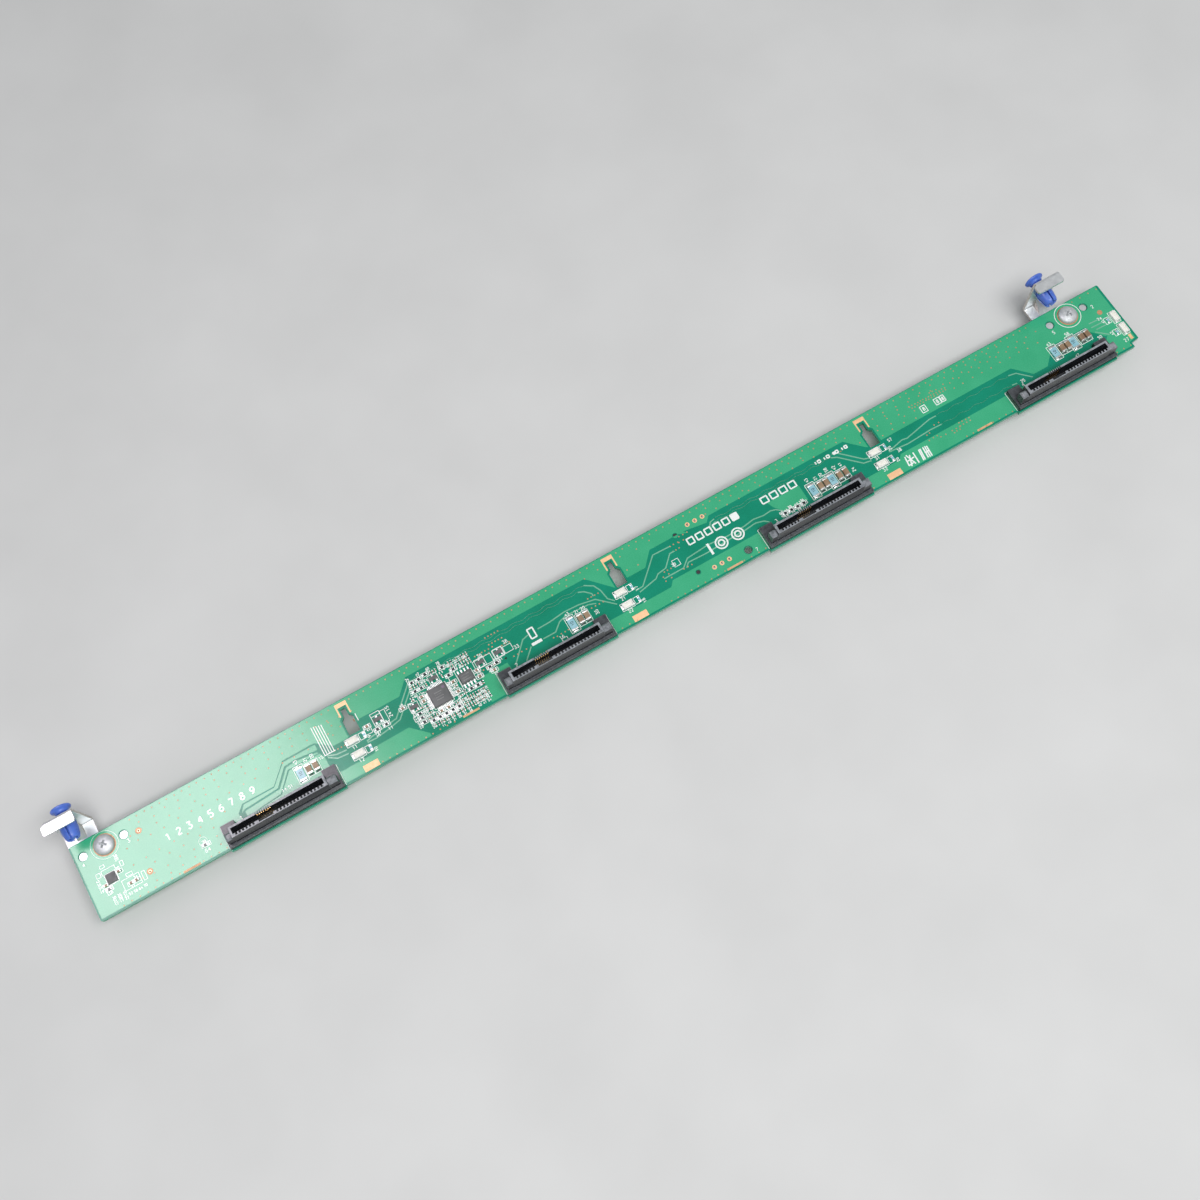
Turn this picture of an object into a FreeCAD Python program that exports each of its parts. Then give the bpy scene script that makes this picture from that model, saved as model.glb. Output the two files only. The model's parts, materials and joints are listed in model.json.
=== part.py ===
import FreeCAD, Part
import os
import re
import PartDesign
import Sketcher

# Drive backplane board for a row of four drive bays, with two sheet-metal
# latch brackets.
#
# Frame, in millimetres: X runs along the board, Y across it towards the
# brackets, and Z out of the face that carries the drive sockets. The origin
# is the centre of that face, so the board lies between Z = -board_thickness
# and Z = 0.

SIZES = {
    # circuit board
    "board_length": 423.4,
    "board_width": 28.3,
    "board_thickness": 1.6,
    "board_corner_radius": 0.7,
    "socket_tab_drop": 0.8,
    "socket_tab_margin": 0.3,
    "corner_notch_length": 3.3,
    "corner_notch_height": 1.9,
    "corner_notch_rise": 0.5,
    "cut_margin": 1.0,
    # bays
    "bay_pitch": 106.65,
    "socket_row_centre": 18.08,
    "socket_line_inset": 2.85,
    # keyhole slots that hook the board over studs of the drive cage
    "hook_offset": 32.7,
    "hook_mouth_low": 15.1,
    "hook_mouth_high": 21.0,
    "hook_neck_low": 22.2,
    "hook_neck_high": 25.0,
    "hook_mouth_width": 4.2,
    "hook_neck_width": 1.8,
    # drive socket housing
    "socket_end_reach": 4.55,
    "socket_front": 3.15,
    "socket_back": 1.85,
    "socket_base_height": 2.4,
    "socket_foot_length": 5.0,
    "socket_foot_back": 5.35,
    "socket_height": 9.5,
    "cavity_end_margin": 1.175,
    "cavity_shift": -0.65,
    "cavity_width": 2.1,
    "cavity_end_wall": 0.9,
    "comb_wall": 1.1,
    "back_wall": 0.7,
    "post_left_width": 2.3,
    "post_right_width": 3.3,
    "post_depth": 2.8,
    "post_shift": 0.65,
    "post_drop": 1.5,
    "wall_chamfer": 0.2,
    "post_chamfer": 0.7,
    "key_gap_start": 0.68,
    "key_gap_end": 0.27,
    # contacts of the drive sockets
    "contact_pitch": 1.27,
    "second_port_pitch": 0.8,
    "comb_slot_width": 0.7,
    "comb_slot_depth": 0.75,
    "comb_slot_roof": 1.5,
    "port_groove_width": 0.46,
    "port_groove_depth": 0.3,
    "port_slit_depth": 1.5,
    "contact_width": 0.5,
    "port_contact_width": 0.34,
    "contact_sheet": 0.25,
    "contact_top_gap": 0.4,
    "contact_bow": 0.45,
    "contact_bow_drop": 1.4,
    "contact_bow_reach": 1.6,
    # status lights and their resistors
    "led_offset": 30.5,
    "led_upper_inset": 12.85,
    "led_lower_inset": 7.6,
    "led_length": 4.0,
    "led_width": 2.3,
    "led_height": 1.3,
    "led_wall": 0.35,
    "led_recess_depth": 0.35,
    "led_resistor_offset": 4.55,
    "led_resistor_length": 1.0,
    "led_resistor_width": 1.6,
    "led_resistor_height": 0.45,
    "end_led_inset": 2.55,
    "end_led_upper": 13.9,
    "end_led_lower": 8.2,
    "end_led_resistor_gap": 2.85,
    # power filter of each bay
    "shunt_length": 5.0,
    "shunt_width": 2.6,
    "shunt_height": 0.6,
    "filter_inset": 11.4,
    "end_filter_inset": 12.9,
    "capacitor_length": 3.4,
    "capacitor_width": 1.9,
    "capacitor_height": 1.5,
    # logic parts
    "controller_x": -77.6,
    "controller_inset": 11.9,
    "controller_size": 7.0,
    "controller_height": 1.3,
    "controller_chamfer": 0.25,
    "controller_lead_count": 12,
    "controller_lead_pitch": 0.5,
    "controller_lead_width": 0.22,
    "controller_lead_reach": 1.0,
    "memory_x": -66.5,
    "memory_inset": 13.1,
    "memory_length": 5.0,
    "memory_width": 3.9,
    "memory_height": 1.5,
    "memory_lead_count": 4,
    "memory_lead_pitch": 1.27,
    "memory_lead_width": 0.42,
    "memory_lead_reach": 1.05,
    "lead_sheet": 0.16,
    "lead_shoulder": 0.6,
    "lead_top_run": 0.35,
    "lead_foot_start": 0.5,
    "chip_standoff": 0.12,
    "sensor_x": -202.7,
    "sensor_inset": 11.7,
    "sensor_size": 3.4,
    "sensor_height": 0.85,
    "transistor_length": 2.9,
    "transistor_width": 1.3,
    "transistor_height": 1.0,
    "transistor_lead_width": 0.4,
    "transistor_lead_reach": 0.55,
    "transistor_lead_pitch": 0.95,
    "small_chip_length": 1.6,
    "small_chip_width": 0.8,
    "small_resistor_height": 0.45,
    "small_capacitor_height": 0.8,
    # latch brackets
    "bracket_left_inset": 11.3,
    "bracket_right_inset": 17.0,
    "bracket_row_inset": 5.1,
    "bracket_sheet": 1.0,
    "bracket_tab_left": 11.6,
    "bracket_tab_width": 11.2,
    "bracket_plate_right": 9.4,
    "bracket_plate_front": 4.4,
    "bracket_upright_gap": 5.6,
    "bracket_height": 16.6,
    "bracket_bend_radius": 1.4,
    "bracket_plate_edge": 1.0,
    "bracket_taper": 1.0,
    "bracket_flange_depth": 4.7,
    "bracket_flange_overhang": 1.0,
    "bracket_flange_corner": 0.8,
    "bracket_rib_width": 3.4,
    "bracket_rib_foot": 4.6,
    "bracket_rib_height": 4.4,
    "pip_left": 8.0,
    "pip_right": 7.0,
    "pip_diameter": 2.7,
    "pip_height": 1.2,
    "pip_clearance": 0.15,
    "screw_diameter": 3.0,
    "board_screw_clearance": 0.3,
    "screw_clearance": 0.02,
    "screw_head_diameter": 7.1,
    "screw_head_height": 2.1,
    "screw_head_rim": 0.6,
    "screw_shoulder_diameter": 5.7,
    "screw_shoulder_height": 1.5,
    "screw_crown_diameter": 3.1,
    "screw_length": 5.0,
    "screw_recess_width": 0.9,
    "screw_recess_length": 3.4,
    "screw_recess_depth": 1.1,
    # snap plungers: a split grommet and the pin that slides in it
    "plunger_shift": 6.3,
    "plunger_height": 7.8,
    "grommet_flange_diameter": 6.8,
    "grommet_flange_thickness": 1.6,
    "grommet_flange_chamfer": 0.3,
    "grommet_neck_diameter": 5.0,
    "grommet_hole_clearance": 0.05,
    "grommet_barrel_diameter": 6.0,
    "grommet_tip_diameter": 4.4,
    "grommet_tip_swell": 0.9,
    "grommet_tip_length": 1.0,
    "grommet_barrel_length": 6.2,
    "grommet_taper_length": 3.4,
    "grommet_slot_width": 0.8,
    "grommet_slot_root": 0.3,
    "pin_diameter": 3.0,
    "pin_clearance": 0.05,
    "pin_pull": 0.9,
    "pin_head_diameter": 7.2,
    "pin_neck_diameter": 4.6,
    "pin_cone_length": 1.5,
    "pin_knee_length": 0.9,
    "pin_knee_swell": 0.7,
    "pin_head_rim": 0.6,
    "pin_dome": 0.5,
    "pin_dome_diameter": 4.3,
    "pin_tip_length": 1.2,
    "pin_tip_diameter": 1.6,
    # cable socket on the back
    "cable_socket_x": 31.4,
    "cable_socket_inset": 13.75,
    "cable_socket_depth": 16.0,
    "cable_socket_width": 18.6,
    "cable_socket_height": 8.2,
    "cable_cavity_width": 16.4,
    "cable_cavity_height": 5.6,
    "cable_cavity_depth": 11.0,
    "cable_floor": 1.2,
    "cable_key_width": 4.6,
    "cable_key_depth": 0.9,
    "cage_sheet": 0.3,
    "cage_leg_first": 29.0,
    "cage_leg_pitch": 3.1,
    "cage_leg_width": 0.8,
    "cage_leg_length": 1.5,
    "cage_leg_clearance": 0.1,
    "cable_contact_count": 18,
    "cable_contact_pitch": 0.8,
    "cable_contact_width": 0.4,
    "cable_contact_sheet": 0.3,
    "cable_contact_length": 9.0,
    "peg_x": 23.1,
    "peg_spacing": 16.2,
    "peg_diameter": 1.4,
    "peg_clearance": 0.05,
    # power header on the back
    "header_x": 131.0,
    "header_inset": 14.3,
    "header_length": 17.0,
    "header_width": 10.6,
    "header_height": 8.6,
    "header_wall": 1.1,
    "header_floor": 1.6,
    "header_notch_width": 4.4,
    "header_notch_depth": 3.6,
    "header_pin_count": 5,
    "header_pin_pitch": 2.54,
    "header_row_spacing": 5.08,
    "header_pin_width": 0.64,
    "header_pin_height": 7.0,
    "header_tail_reach": 2.0,
    "header_tail_sheet": 0.4,
    # plain holes of the board
    "tooling_hole_diameter": 2.9,
    "tooling_hole_x": 42.8,
    "tooling_hole_inset": 3.8,
    "upper_test_hole_x": -188.4,
    "upper_test_hole_inset": 21.8,
    "lower_test_hole_x": -190.6,
    "lower_test_hole_inset": 7.2,
    "test_hole_diameter": 1.0,
    "vent_hole_x": -51.4,
    "vent_hole_inset": 12.3,
    "vent_hole_diameter": 0.9,
}

BAYS = (0, 1, 2, 3)
HOOKS = (0, 1, 2)

doc = FreeCAD.newDocument("drive_backplane")
dims = doc.addObject("Spreadsheet::Sheet", "dims")
parts = []


# ---------------------------------------------------------------- helpers

def fill_sheet():
    for row, (name, value) in enumerate(SIZES.items(), start=1):
        dims.set(f"A{row}", name)
        dims.set(f"B{row}", str(value))
        dims.setAlias(f"B{row}", name)
    doc.recompute()


def size(text):
    """The value of an expression written with the sheet's names."""
    return float(dims.evalExpression(str(text)))


def linked(text):
    """The same expression, as another object has to write it."""
    return re.sub(r"[a-z]\w+", lambda word: f"dims.{word.group()}", str(text))


def bind(thing, prop, text):
    thing.setExpression(prop, linked(text))


def origin_feature(body, role):
    return next(item for item in body.Origin.OriginFeatures if item.Role == role)


def make_body(label, x="0", y="0", z="0"):
    """A sub-part: its label names its file, its placement follows the sheet."""
    body = doc.addObject("PartDesign::Body", label)
    body.Label = label
    body.AllowCompound = True
    for axis, place in zip("xyz", (x, y, z)):
        bind(body, f"Placement.Base.{axis}", place)
    parts.append(body)
    return body


def make_sketch(body, role, height="0"):
    sketch = body.newObject("Sketcher::SketchObject", body.Label + "_sketch")
    sketch.AttachmentSupport = [(origin_feature(body, role), "")]
    sketch.MapMode = "FlatFace"
    bind(sketch, "AttachmentOffset.Base.z", height)
    return sketch


def pin_point(sketch, geometry, position, x, y):
    """Tie a point of the sketch to the origin by two bound distances."""
    for kind, text in (("DistanceX", x), ("DistanceY", y)):
        index = sketch.addConstraint(
            Sketcher.Constraint(kind, -1, 1, geometry, position, size(text)))
        sketch.setExpression(f"Constraints[{index}]", linked(text))


def outline(sketch, points):
    """A closed outline of straight edges through bound points."""
    places = [FreeCAD.Vector(size(x), size(y), 0) for x, y in points]
    first = sketch.GeometryCount
    count = len(places)
    for start, end in zip(places, places[1:] + places[:1]):
        sketch.addGeometry(Part.LineSegment(start, end), False)
    for step in range(count):
        following = first + (step + 1) % count
        sketch.addConstraint(
            Sketcher.Constraint("Coincident", first + step, 2, following, 1))
    for step, (x, y) in enumerate(points):
        pin_point(sketch, first + step, 1, x, y)


def rectangle(sketch, left, low, right, high):
    outline(sketch, [(left, low), (right, low), (right, high), (left, high)])


def centred_rectangle(sketch, x, y, length, width):
    rectangle(sketch, f"{x} - ({length}) / 2", f"{y} - ({width}) / 2",
              f"{x} + ({length}) / 2", f"{y} + ({width}) / 2")


def circle(sketch, x, y, diameter):
    centre = FreeCAD.Vector(size(x), size(y), 0)
    index = sketch.addGeometry(
        Part.Circle(centre, FreeCAD.Vector(0, 0, 1), size(diameter) / 2), False)
    pin_point(sketch, index, 3, x, y)
    mark = sketch.addConstraint(
        Sketcher.Constraint("Diameter", index, size(diameter)))
    sketch.setExpression(f"Constraints[{mark}]", linked(diameter))


def pad(body, sketch, length, down=False, both=False):
    feature = body.newObject("PartDesign::Pad", body.Label + "_pad")
    feature.Profile = sketch
    bind(feature, "Length", length)
    feature.Reversed = down
    feature.Midplane = both
    body.Tip = feature
    return feature


def pocket(body, sketch, depth, up=False, both=False):
    """Cut a sketch into the body: below its plane, or above it if up."""
    before = tip_volume(body)
    feature = body.newObject("PartDesign::Pocket", body.Label + "_pocket")
    feature.Profile = sketch
    bind(feature, "Length", depth)
    feature.Reversed = up
    feature.Midplane = both
    body.Tip = feature
    if not tip_volume(body) < before:
        raise ValueError(f"{body.Label}: a pocket removes nothing")
    return feature


def tip_volume(body):
    doc.recompute()
    return body.Shape.Volume


def pattern(body, feature, pitch, count, role="X_Axis"):
    repeat = body.newObject("PartDesign::LinearPattern", body.Label + "_row")
    repeat.Originals = [feature]
    repeat.Direction = (origin_feature(body, role), [""])
    repeat.Mode = "Spacing"
    bind(repeat, "Offset", pitch)
    bind(repeat, "Occurrences", count)
    body.Tip = repeat
    return repeat


def revolve(body, sketch, axis):
    feature = body.newObject("PartDesign::Revolution", body.Label + "_turned")
    feature.Profile = sketch
    feature.ReferenceAxis = (sketch, [axis])
    feature.Angle = 360
    body.Tip = feature
    return feature


def dress(body, kind, amount, chosen):
    """A Fillet or Chamfer on the edges of the tip that chosen() picks."""
    doc.recompute()
    tip = body.Tip
    names = [f"Edge{number}" for number, edge in enumerate(tip.Shape.Edges, start=1)
             if chosen(edge)]
    if not names:
        raise ValueError(f"{body.Label}: no edge to dress")
    feature = body.newObject(f"PartDesign::{kind}", f"{body.Label}_{kind}")
    feature.Base = (tip, names)
    bind(feature, "Radius" if kind == "Fillet" else "Size", amount)
    body.Tip = feature
    return feature


def along(edge, axis):
    box = edge.BoundBox
    spans = {"x": box.XLength, "y": box.YLength, "z": box.ZLength}
    across = sum(spans.values()) - spans[axis]
    return spans[axis] > 1e-3 and across < 1e-3


def near(value, text):
    return abs(value - size(text)) < 1e-3


# ---------------------------------------------------------- circuit board

BOTTOM_EDGE = "-board_width / 2"
TOP_EDGE = "board_width / 2"


def from_bottom(inset):
    """A place measured up from the board's long edge under the sockets."""
    return f"{BOTTOM_EDGE} + {inset}"


def socket_x(bay):
    return f"socket_row_centre + ({bay} - 1.5) * bay_pitch"


BRACKET_SCREW_X = {
    "left": "-board_length / 2 + bracket_left_inset",
    "right": "board_length / 2 - bracket_right_inset",
}
BRACKET_SCREW_Y = f"{TOP_EDGE} - bracket_row_inset"

# Plated test holes, a vent and the tooling hole: x from the board's centre,
# y from its bottom edge, and the diameter.
PLAIN_HOLES = [
    ("upper_test_hole_x", "upper_test_hole_inset", "test_hole_diameter"),
    ("lower_test_hole_x", "lower_test_hole_inset", "test_hole_diameter"),
    ("vent_hole_x", "vent_hole_inset", "vent_hole_diameter"),
    ("tooling_hole_x", "tooling_hole_inset", "tooling_hole_diameter"),
]


def circuit_board():
    body = make_body("circuit_board")
    plate = make_sketch(body, "XY_Plane")
    centred_rectangle(plate, "0", "0", "board_length", "board_width")
    pad(body, plate, "board_thickness", down=True)
    dress(body, "Fillet", "board_corner_radius", lambda edge: along(edge, "z"))
    add_socket_tabs(body)
    cut_corner_notch(body)
    cut_hook_slots(body)
    cut_board_holes(body)


def add_socket_tabs(body):
    """The board stands out a little under each drive socket."""
    half = f"({SOCKET_HALF} + socket_tab_margin)"
    tab = make_sketch(body, "XY_Plane")
    rectangle(tab, f"{socket_x(0)} - {half}", f"{BOTTOM_EDGE} - socket_tab_drop",
              f"{socket_x(0)} + {half}", f"{BOTTOM_EDGE} + board_corner_radius")
    pattern(body, pad(body, tab, "board_thickness", down=True),
            "bay_pitch", str(len(BAYS)))


def cut_corner_notch(body):
    """A stepped notch in the corner beside the last socket."""
    notch = make_sketch(body, "XY_Plane")
    inner = "board_length / 2 - corner_notch_length"
    high = f"{BOTTOM_EDGE} + corner_notch_height"
    outline(notch, [
        (inner, f"{BOTTOM_EDGE} - cut_margin"),
        ("board_length / 2 + cut_margin", f"{BOTTOM_EDGE} - cut_margin"),
        ("board_length / 2 + cut_margin", f"{high} + corner_notch_rise"),
        (inner, high),
    ])
    pocket(body, notch, "board_thickness")


def cut_hook_slots(body):
    """Keyhole slots: a wide mouth, tapered shoulders and a narrow neck."""
    keyhole = make_sketch(body, "XY_Plane")
    centre = f"{socket_x(0)} + hook_offset"
    half_mouth = "hook_mouth_width / 2"
    half_neck = "hook_neck_width / 2"
    outline(keyhole, [
        (f"{centre} - {half_mouth}", from_bottom("hook_mouth_low")),
        (f"{centre} + {half_mouth}", from_bottom("hook_mouth_low")),
        (f"{centre} + {half_mouth}", from_bottom("hook_mouth_high")),
        (f"{centre} + {half_neck}", from_bottom("hook_neck_low")),
        (f"{centre} + {half_neck}", from_bottom("hook_neck_high")),
        (f"{centre} - {half_neck}", from_bottom("hook_neck_high")),
        (f"{centre} - {half_neck}", from_bottom("hook_neck_low")),
        (f"{centre} - {half_mouth}", from_bottom("hook_mouth_high")),
    ])
    pattern(body, pocket(body, keyhole, "board_thickness"),
            "bay_pitch", str(len(HOOKS)))


def cut_board_holes(body):
    holes = make_sketch(body, "XY_Plane")
    for side in BRACKET_SCREW_X:
        screw = BRACKET_SCREW_X[side]
        circle(holes, screw, BRACKET_SCREW_Y,
               "screw_diameter + 2 * board_screw_clearance")
        for pip in (f"{screw} - pip_left", f"{screw} + pip_right"):
            circle(holes, pip, BRACKET_SCREW_Y, "pip_diameter + 2 * pip_clearance")
    for x, inset, diameter in PLAIN_HOLES:
        circle(holes, x, from_bottom(inset), diameter)
    for side in (-1, 1):
        circle(holes, "peg_x", f"{CABLE_SOCKET_Y} + {side} * peg_spacing / 2",
               "peg_diameter + 2 * peg_clearance")
        for leg in range(3):
            circle(holes, f"cage_leg_first + {leg} * cage_leg_pitch",
                   f"{CABLE_SOCKET_Y} + {side} * {CAGE_LEG_Y}",
                   "cage_leg_width + 2 * cage_leg_clearance")
    pocket(body, holes, "board_thickness")


# ----------------------------------------------------------- drive sockets
# Each socket is modelled about the middle of its base, with Y = 0 on the
# centre line of its card slot and Z = 0 on the board.

SIGNAL_COUNT = 7
POWER_COUNT = 15

# The contacts stand on one pitch: seven, a gap of five steps, then fifteen.
ROW_STEPS = 25
POWER_STEP = 11
PORT_STEP = 8.5
HALF_ROW = f"{ROW_STEPS} / 2 * contact_pitch"
FIRST_CONTACT = f"(cavity_shift - {HALF_ROW})"
FIRST_POWER = f"({FIRST_CONTACT} + {POWER_STEP} * contact_pitch)"
FIRST_PORT = (f"({FIRST_CONTACT} + {PORT_STEP} * contact_pitch"
              f" - {SIGNAL_COUNT // 2} * second_port_pitch)")

SOCKET_HALF = f"({HALF_ROW} + cavity_end_margin + socket_end_reach)"
CAVITY_LEFT = f"(cavity_shift - {HALF_ROW} - cavity_end_margin)"
CAVITY_RIGHT = f"(cavity_shift + {HALF_ROW} + cavity_end_margin)"
WALL_LEFT = f"({CAVITY_LEFT} - cavity_end_wall)"
WALL_RIGHT = f"({CAVITY_RIGHT} + cavity_end_wall)"
COMB_INNER = "(cavity_width / 2)"
COMB_OUTER = f"({COMB_INNER} + comb_wall)"
SLOT_FLOOR = f"({COMB_INNER} + comb_slot_depth)"
SLOT_ROOF = "(socket_height - comb_slot_roof)"
CONTACT_TOP = f"({SLOT_ROOF} - contact_top_gap)"
POST_TOP = "(socket_height - post_drop)"


def drive_socket_housing(bay):
    body = make_body(f"drive_socket_housing_{bay + 1}",
                     socket_x(bay), from_bottom("socket_line_inset"))
    add_socket_base(body)
    add_slot_walls(body)
    add_guide_posts(body)
    cut_card_cavity(body)
    cut_comb_slots(body, FIRST_CONTACT, SIGNAL_COUNT, closed_at_start=False)
    cut_comb_slots(body, FIRST_POWER, POWER_COUNT, closed_at_start=True)
    cut_second_port(body)


def add_socket_base(body):
    """A long base whose two feet reach further back than its middle."""
    base = make_sketch(body, "XY_Plane")
    half = SOCKET_HALF
    foot = f"({half} - socket_foot_length)"
    outline(base, [
        (f"-{half}", "-socket_front"),
        (half, "-socket_front"),
        (half, "socket_foot_back"),
        (foot, "socket_foot_back"),
        (foot, "socket_back"),
        (f"-{foot}", "socket_back"),
        (f"-{foot}", "socket_foot_back"),
        (f"-{half}", "socket_foot_back"),
    ])
    pad(body, base, "socket_base_height")


def add_slot_walls(body):
    walls = make_sketch(body, "XY_Plane")
    rectangle(walls, WALL_LEFT, f"-{COMB_OUTER}",
              WALL_RIGHT, f"{COMB_INNER} + back_wall")
    pad(body, walls, "socket_height")
    dress(body, "Chamfer", "wall_chamfer", lambda edge: along(edge, "y")
          and near(edge.BoundBox.ZMax, "socket_height"))


def add_guide_posts(body):
    """A post at each end leads the drive in; its top is drawn to a point."""
    low = "-post_shift - post_depth / 2"
    high = "-post_shift + post_depth / 2"
    posts = make_sketch(body, "XY_Plane")
    rectangle(posts, f"{WALL_LEFT} - post_left_width", low, WALL_LEFT, high)
    rectangle(posts, WALL_RIGHT, low, f"{WALL_RIGHT} + post_right_width", high)
    pad(body, posts, POST_TOP)
    dress(body, "Chamfer", "post_chamfer", is_post_rim)


def is_post_rim(edge):
    box = edge.BoundBox
    outside = box.XMin < size(WALL_LEFT) - 1e-3 or box.XMax > size(WALL_RIGHT) + 1e-3
    return outside and near(box.ZMin, POST_TOP) and near(box.ZMax, POST_TOP)


def cut_card_cavity(body):
    """The blind slot that takes the drive's tongue, wider at the key."""
    cavity = make_sketch(body, "XY_Plane", "socket_height")
    rectangle(cavity, CAVITY_LEFT, f"-{COMB_INNER}", CAVITY_RIGHT, COMB_INNER)
    pocket(body, cavity, "socket_height - socket_base_height")
    key = make_sketch(body, "XY_Plane", "socket_height")
    last_signal = f"{FIRST_CONTACT} + {SIGNAL_COUNT - 1} * contact_pitch"
    rectangle(key, f"{last_signal} + key_gap_start", f"-{SLOT_FLOOR}",
              f"{FIRST_POWER} - key_gap_end", "0")
    pocket(body, key, "socket_height - socket_base_height")


def cut_comb_slots(body, start, count, closed_at_start):
    """Contact slots in the comb wall; the one beside the key has a roof."""
    slots = make_sketch(body, "XY_Plane")
    rectangle(slots, f"{start} - comb_slot_width / 2", f"-{SLOT_FLOOR}",
              f"{start} + comb_slot_width / 2", f"-{COMB_INNER}")
    pattern(body, pocket(body, slots, SLOT_ROOF, up=True),
            "contact_pitch", str(count))
    first_open = f"{start} + contact_pitch" if closed_at_start else start
    mouths = make_sketch(body, "XY_Plane", "socket_height")
    rectangle(mouths, f"{first_open} - comb_slot_width / 2", f"-{SLOT_FLOOR}",
              f"{first_open} + comb_slot_width / 2", f"-{COMB_INNER}")
    pattern(body, pocket(body, mouths, "comb_slot_roof"),
            "contact_pitch", str(count - 1))


def cut_second_port(body):
    """Seven fine grooves in the back wall, each with a slit at the top."""
    left = f"{FIRST_PORT} - port_groove_width / 2"
    right = f"{FIRST_PORT} + port_groove_width / 2"
    grooves = make_sketch(body, "XY_Plane")
    rectangle(grooves, left, COMB_INNER, right, f"{COMB_INNER} + port_groove_depth")
    pattern(body, pocket(body, grooves, "socket_height", up=True),
            "second_port_pitch", str(SIGNAL_COUNT))
    slits = make_sketch(body, "XY_Plane", "socket_height")
    rectangle(slits, left, COMB_INNER, right, f"{COMB_INNER} + back_wall")
    pattern(body, pocket(body, slits, "port_slit_depth"),
            "second_port_pitch", str(SIGNAL_COUNT))


def spring_contacts(label, bay, start, pitch, count, back, width, side):
    """A row of spring contacts that stand in their slots.

    back is the distance of the contact's back face from the slot's centre
    line, and side is -1 on the comb wall and 1 on the back wall.
    """
    body = make_body(label, socket_x(bay), from_bottom("socket_line_inset"))
    blade = make_sketch(body, "YZ_Plane", start)

    def at(inward):
        return f"{side} * ({back} - ({inward}))"

    outline(blade, [
        (at("0"), "0"),
        (at("0"), CONTACT_TOP),
        (at("contact_sheet"), CONTACT_TOP),
        (at("contact_sheet + contact_bow"), f"{CONTACT_TOP} - contact_bow_drop"),
        (at("contact_sheet"), f"{CONTACT_TOP} - contact_bow_drop - contact_bow_reach"),
        (at("contact_sheet"), "0"),
    ])
    pattern(body, pad(body, blade, width, both=True), pitch, str(count))


def socket_contacts(bay):
    number = bay + 1
    spring_contacts(f"signal_contacts_{number}", bay, FIRST_CONTACT,
                    "contact_pitch", SIGNAL_COUNT, SLOT_FLOOR, "contact_width", -1)
    spring_contacts(f"second_port_contacts_{number}", bay, FIRST_PORT,
                    "second_port_pitch", SIGNAL_COUNT,
                    f"({COMB_INNER} + port_groove_depth)", "port_contact_width", 1)
    spring_contacts(f"power_contacts_{number}", bay, FIRST_POWER,
                    "contact_pitch", POWER_COUNT, SLOT_FLOOR, "contact_width", -1)


# ------------------------------------------- status lights and chip parts

def led_places(bay):
    """Centres of a bay's two lights, and whether they stand across the board."""
    if bay == BAYS[-1]:
        x = "board_length / 2 - end_led_inset"
        return x, "end_led_upper", "end_led_lower", True
    return f"{socket_x(bay)} + led_offset", "led_upper_inset", "led_lower_inset", False


def status_led(label, x, inset, upright):
    """A white light package with a shallow reflector recess on top."""
    body = make_body(label, x, from_bottom(inset))
    length, width = ("led_width", "led_length") if upright else ("led_length", "led_width")
    case = make_sketch(body, "XY_Plane")
    centred_rectangle(case, "0", "0", length, width)
    pad(body, case, "led_height")
    recess = make_sketch(body, "XY_Plane", "led_height")
    centred_rectangle(recess, "0", "0", f"{length} - 2 * led_wall", f"{width} - 2 * led_wall")
    pocket(body, recess, "led_recess_depth")


def chip_group(label, places, length, width, height, x="0", y="0"):
    """Chip parts of one size as separate solids on the board."""
    body = make_body(label, x, y)
    seats = make_sketch(body, "XY_Plane")
    for place_x, place_y in places:
        centred_rectangle(seats, place_x, place_y, length, width)
    pad(body, seats, height)


def status_lights(bay):
    x, upper, lower, upright = led_places(bay)
    status_led(f"status_led_upper_{bay + 1}", x, upper, upright)
    status_led(f"status_led_lower_{bay + 1}", x, lower, upright)
    shift = "-end_led_resistor_gap" if upright else "led_resistor_offset"
    places = [(shift, from_bottom(upper)), (shift, from_bottom(lower))]
    chip_group(f"led_resistors_{bay + 1}", places, "led_resistor_length",
               "led_resistor_width", "led_resistor_height", x)


# X of the power filter's parts from the middle of their drive socket.
SHUNT_SHIFTS = (("10.1",), ("10.15",), ("3.5", "11.7"), ("3.55", "11.85"))
CAPACITOR_SHIFTS = (
    ("13.3", "15.9"),
    ("13.55", "16.05"),
    ("6.6", "9.0", "14.7", "17.3"),
    ("6.65", "9.15", "15.35", "17.85"),
)


def power_filter(bay):
    inset = "end_filter_inset" if bay == BAYS[-1] else "filter_inset"
    shunts = [(shift, "0") for shift in SHUNT_SHIFTS[bay]]
    capacitors = [(shift, "0") for shift in CAPACITOR_SHIFTS[bay]]
    chip_group(f"shunt_resistors_{bay + 1}", shunts, "shunt_width", "shunt_length",
               "shunt_height", socket_x(bay), from_bottom(inset))
    chip_group(f"filter_capacitors_{bay + 1}", capacitors, "capacitor_width",
               "capacitor_length", "capacitor_height", socket_x(bay), from_bottom(inset))


# ------------------------------------------------------------- logic parts

def moulded_chip(label, x, inset, length, width, height):
    """A moulded package: bevelled above, standing just off the board."""
    body = make_body(label, x, from_bottom(inset), "chip_standoff")
    case = make_sketch(body, "XY_Plane")
    centred_rectangle(case, "0", "0", length, width)
    pad(body, case, f"{height} - chip_standoff")
    dress(body, "Chamfer", "controller_chamfer",
          lambda edge: near(edge.BoundBox.ZMin, f"{height} - chip_standoff"))


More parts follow.
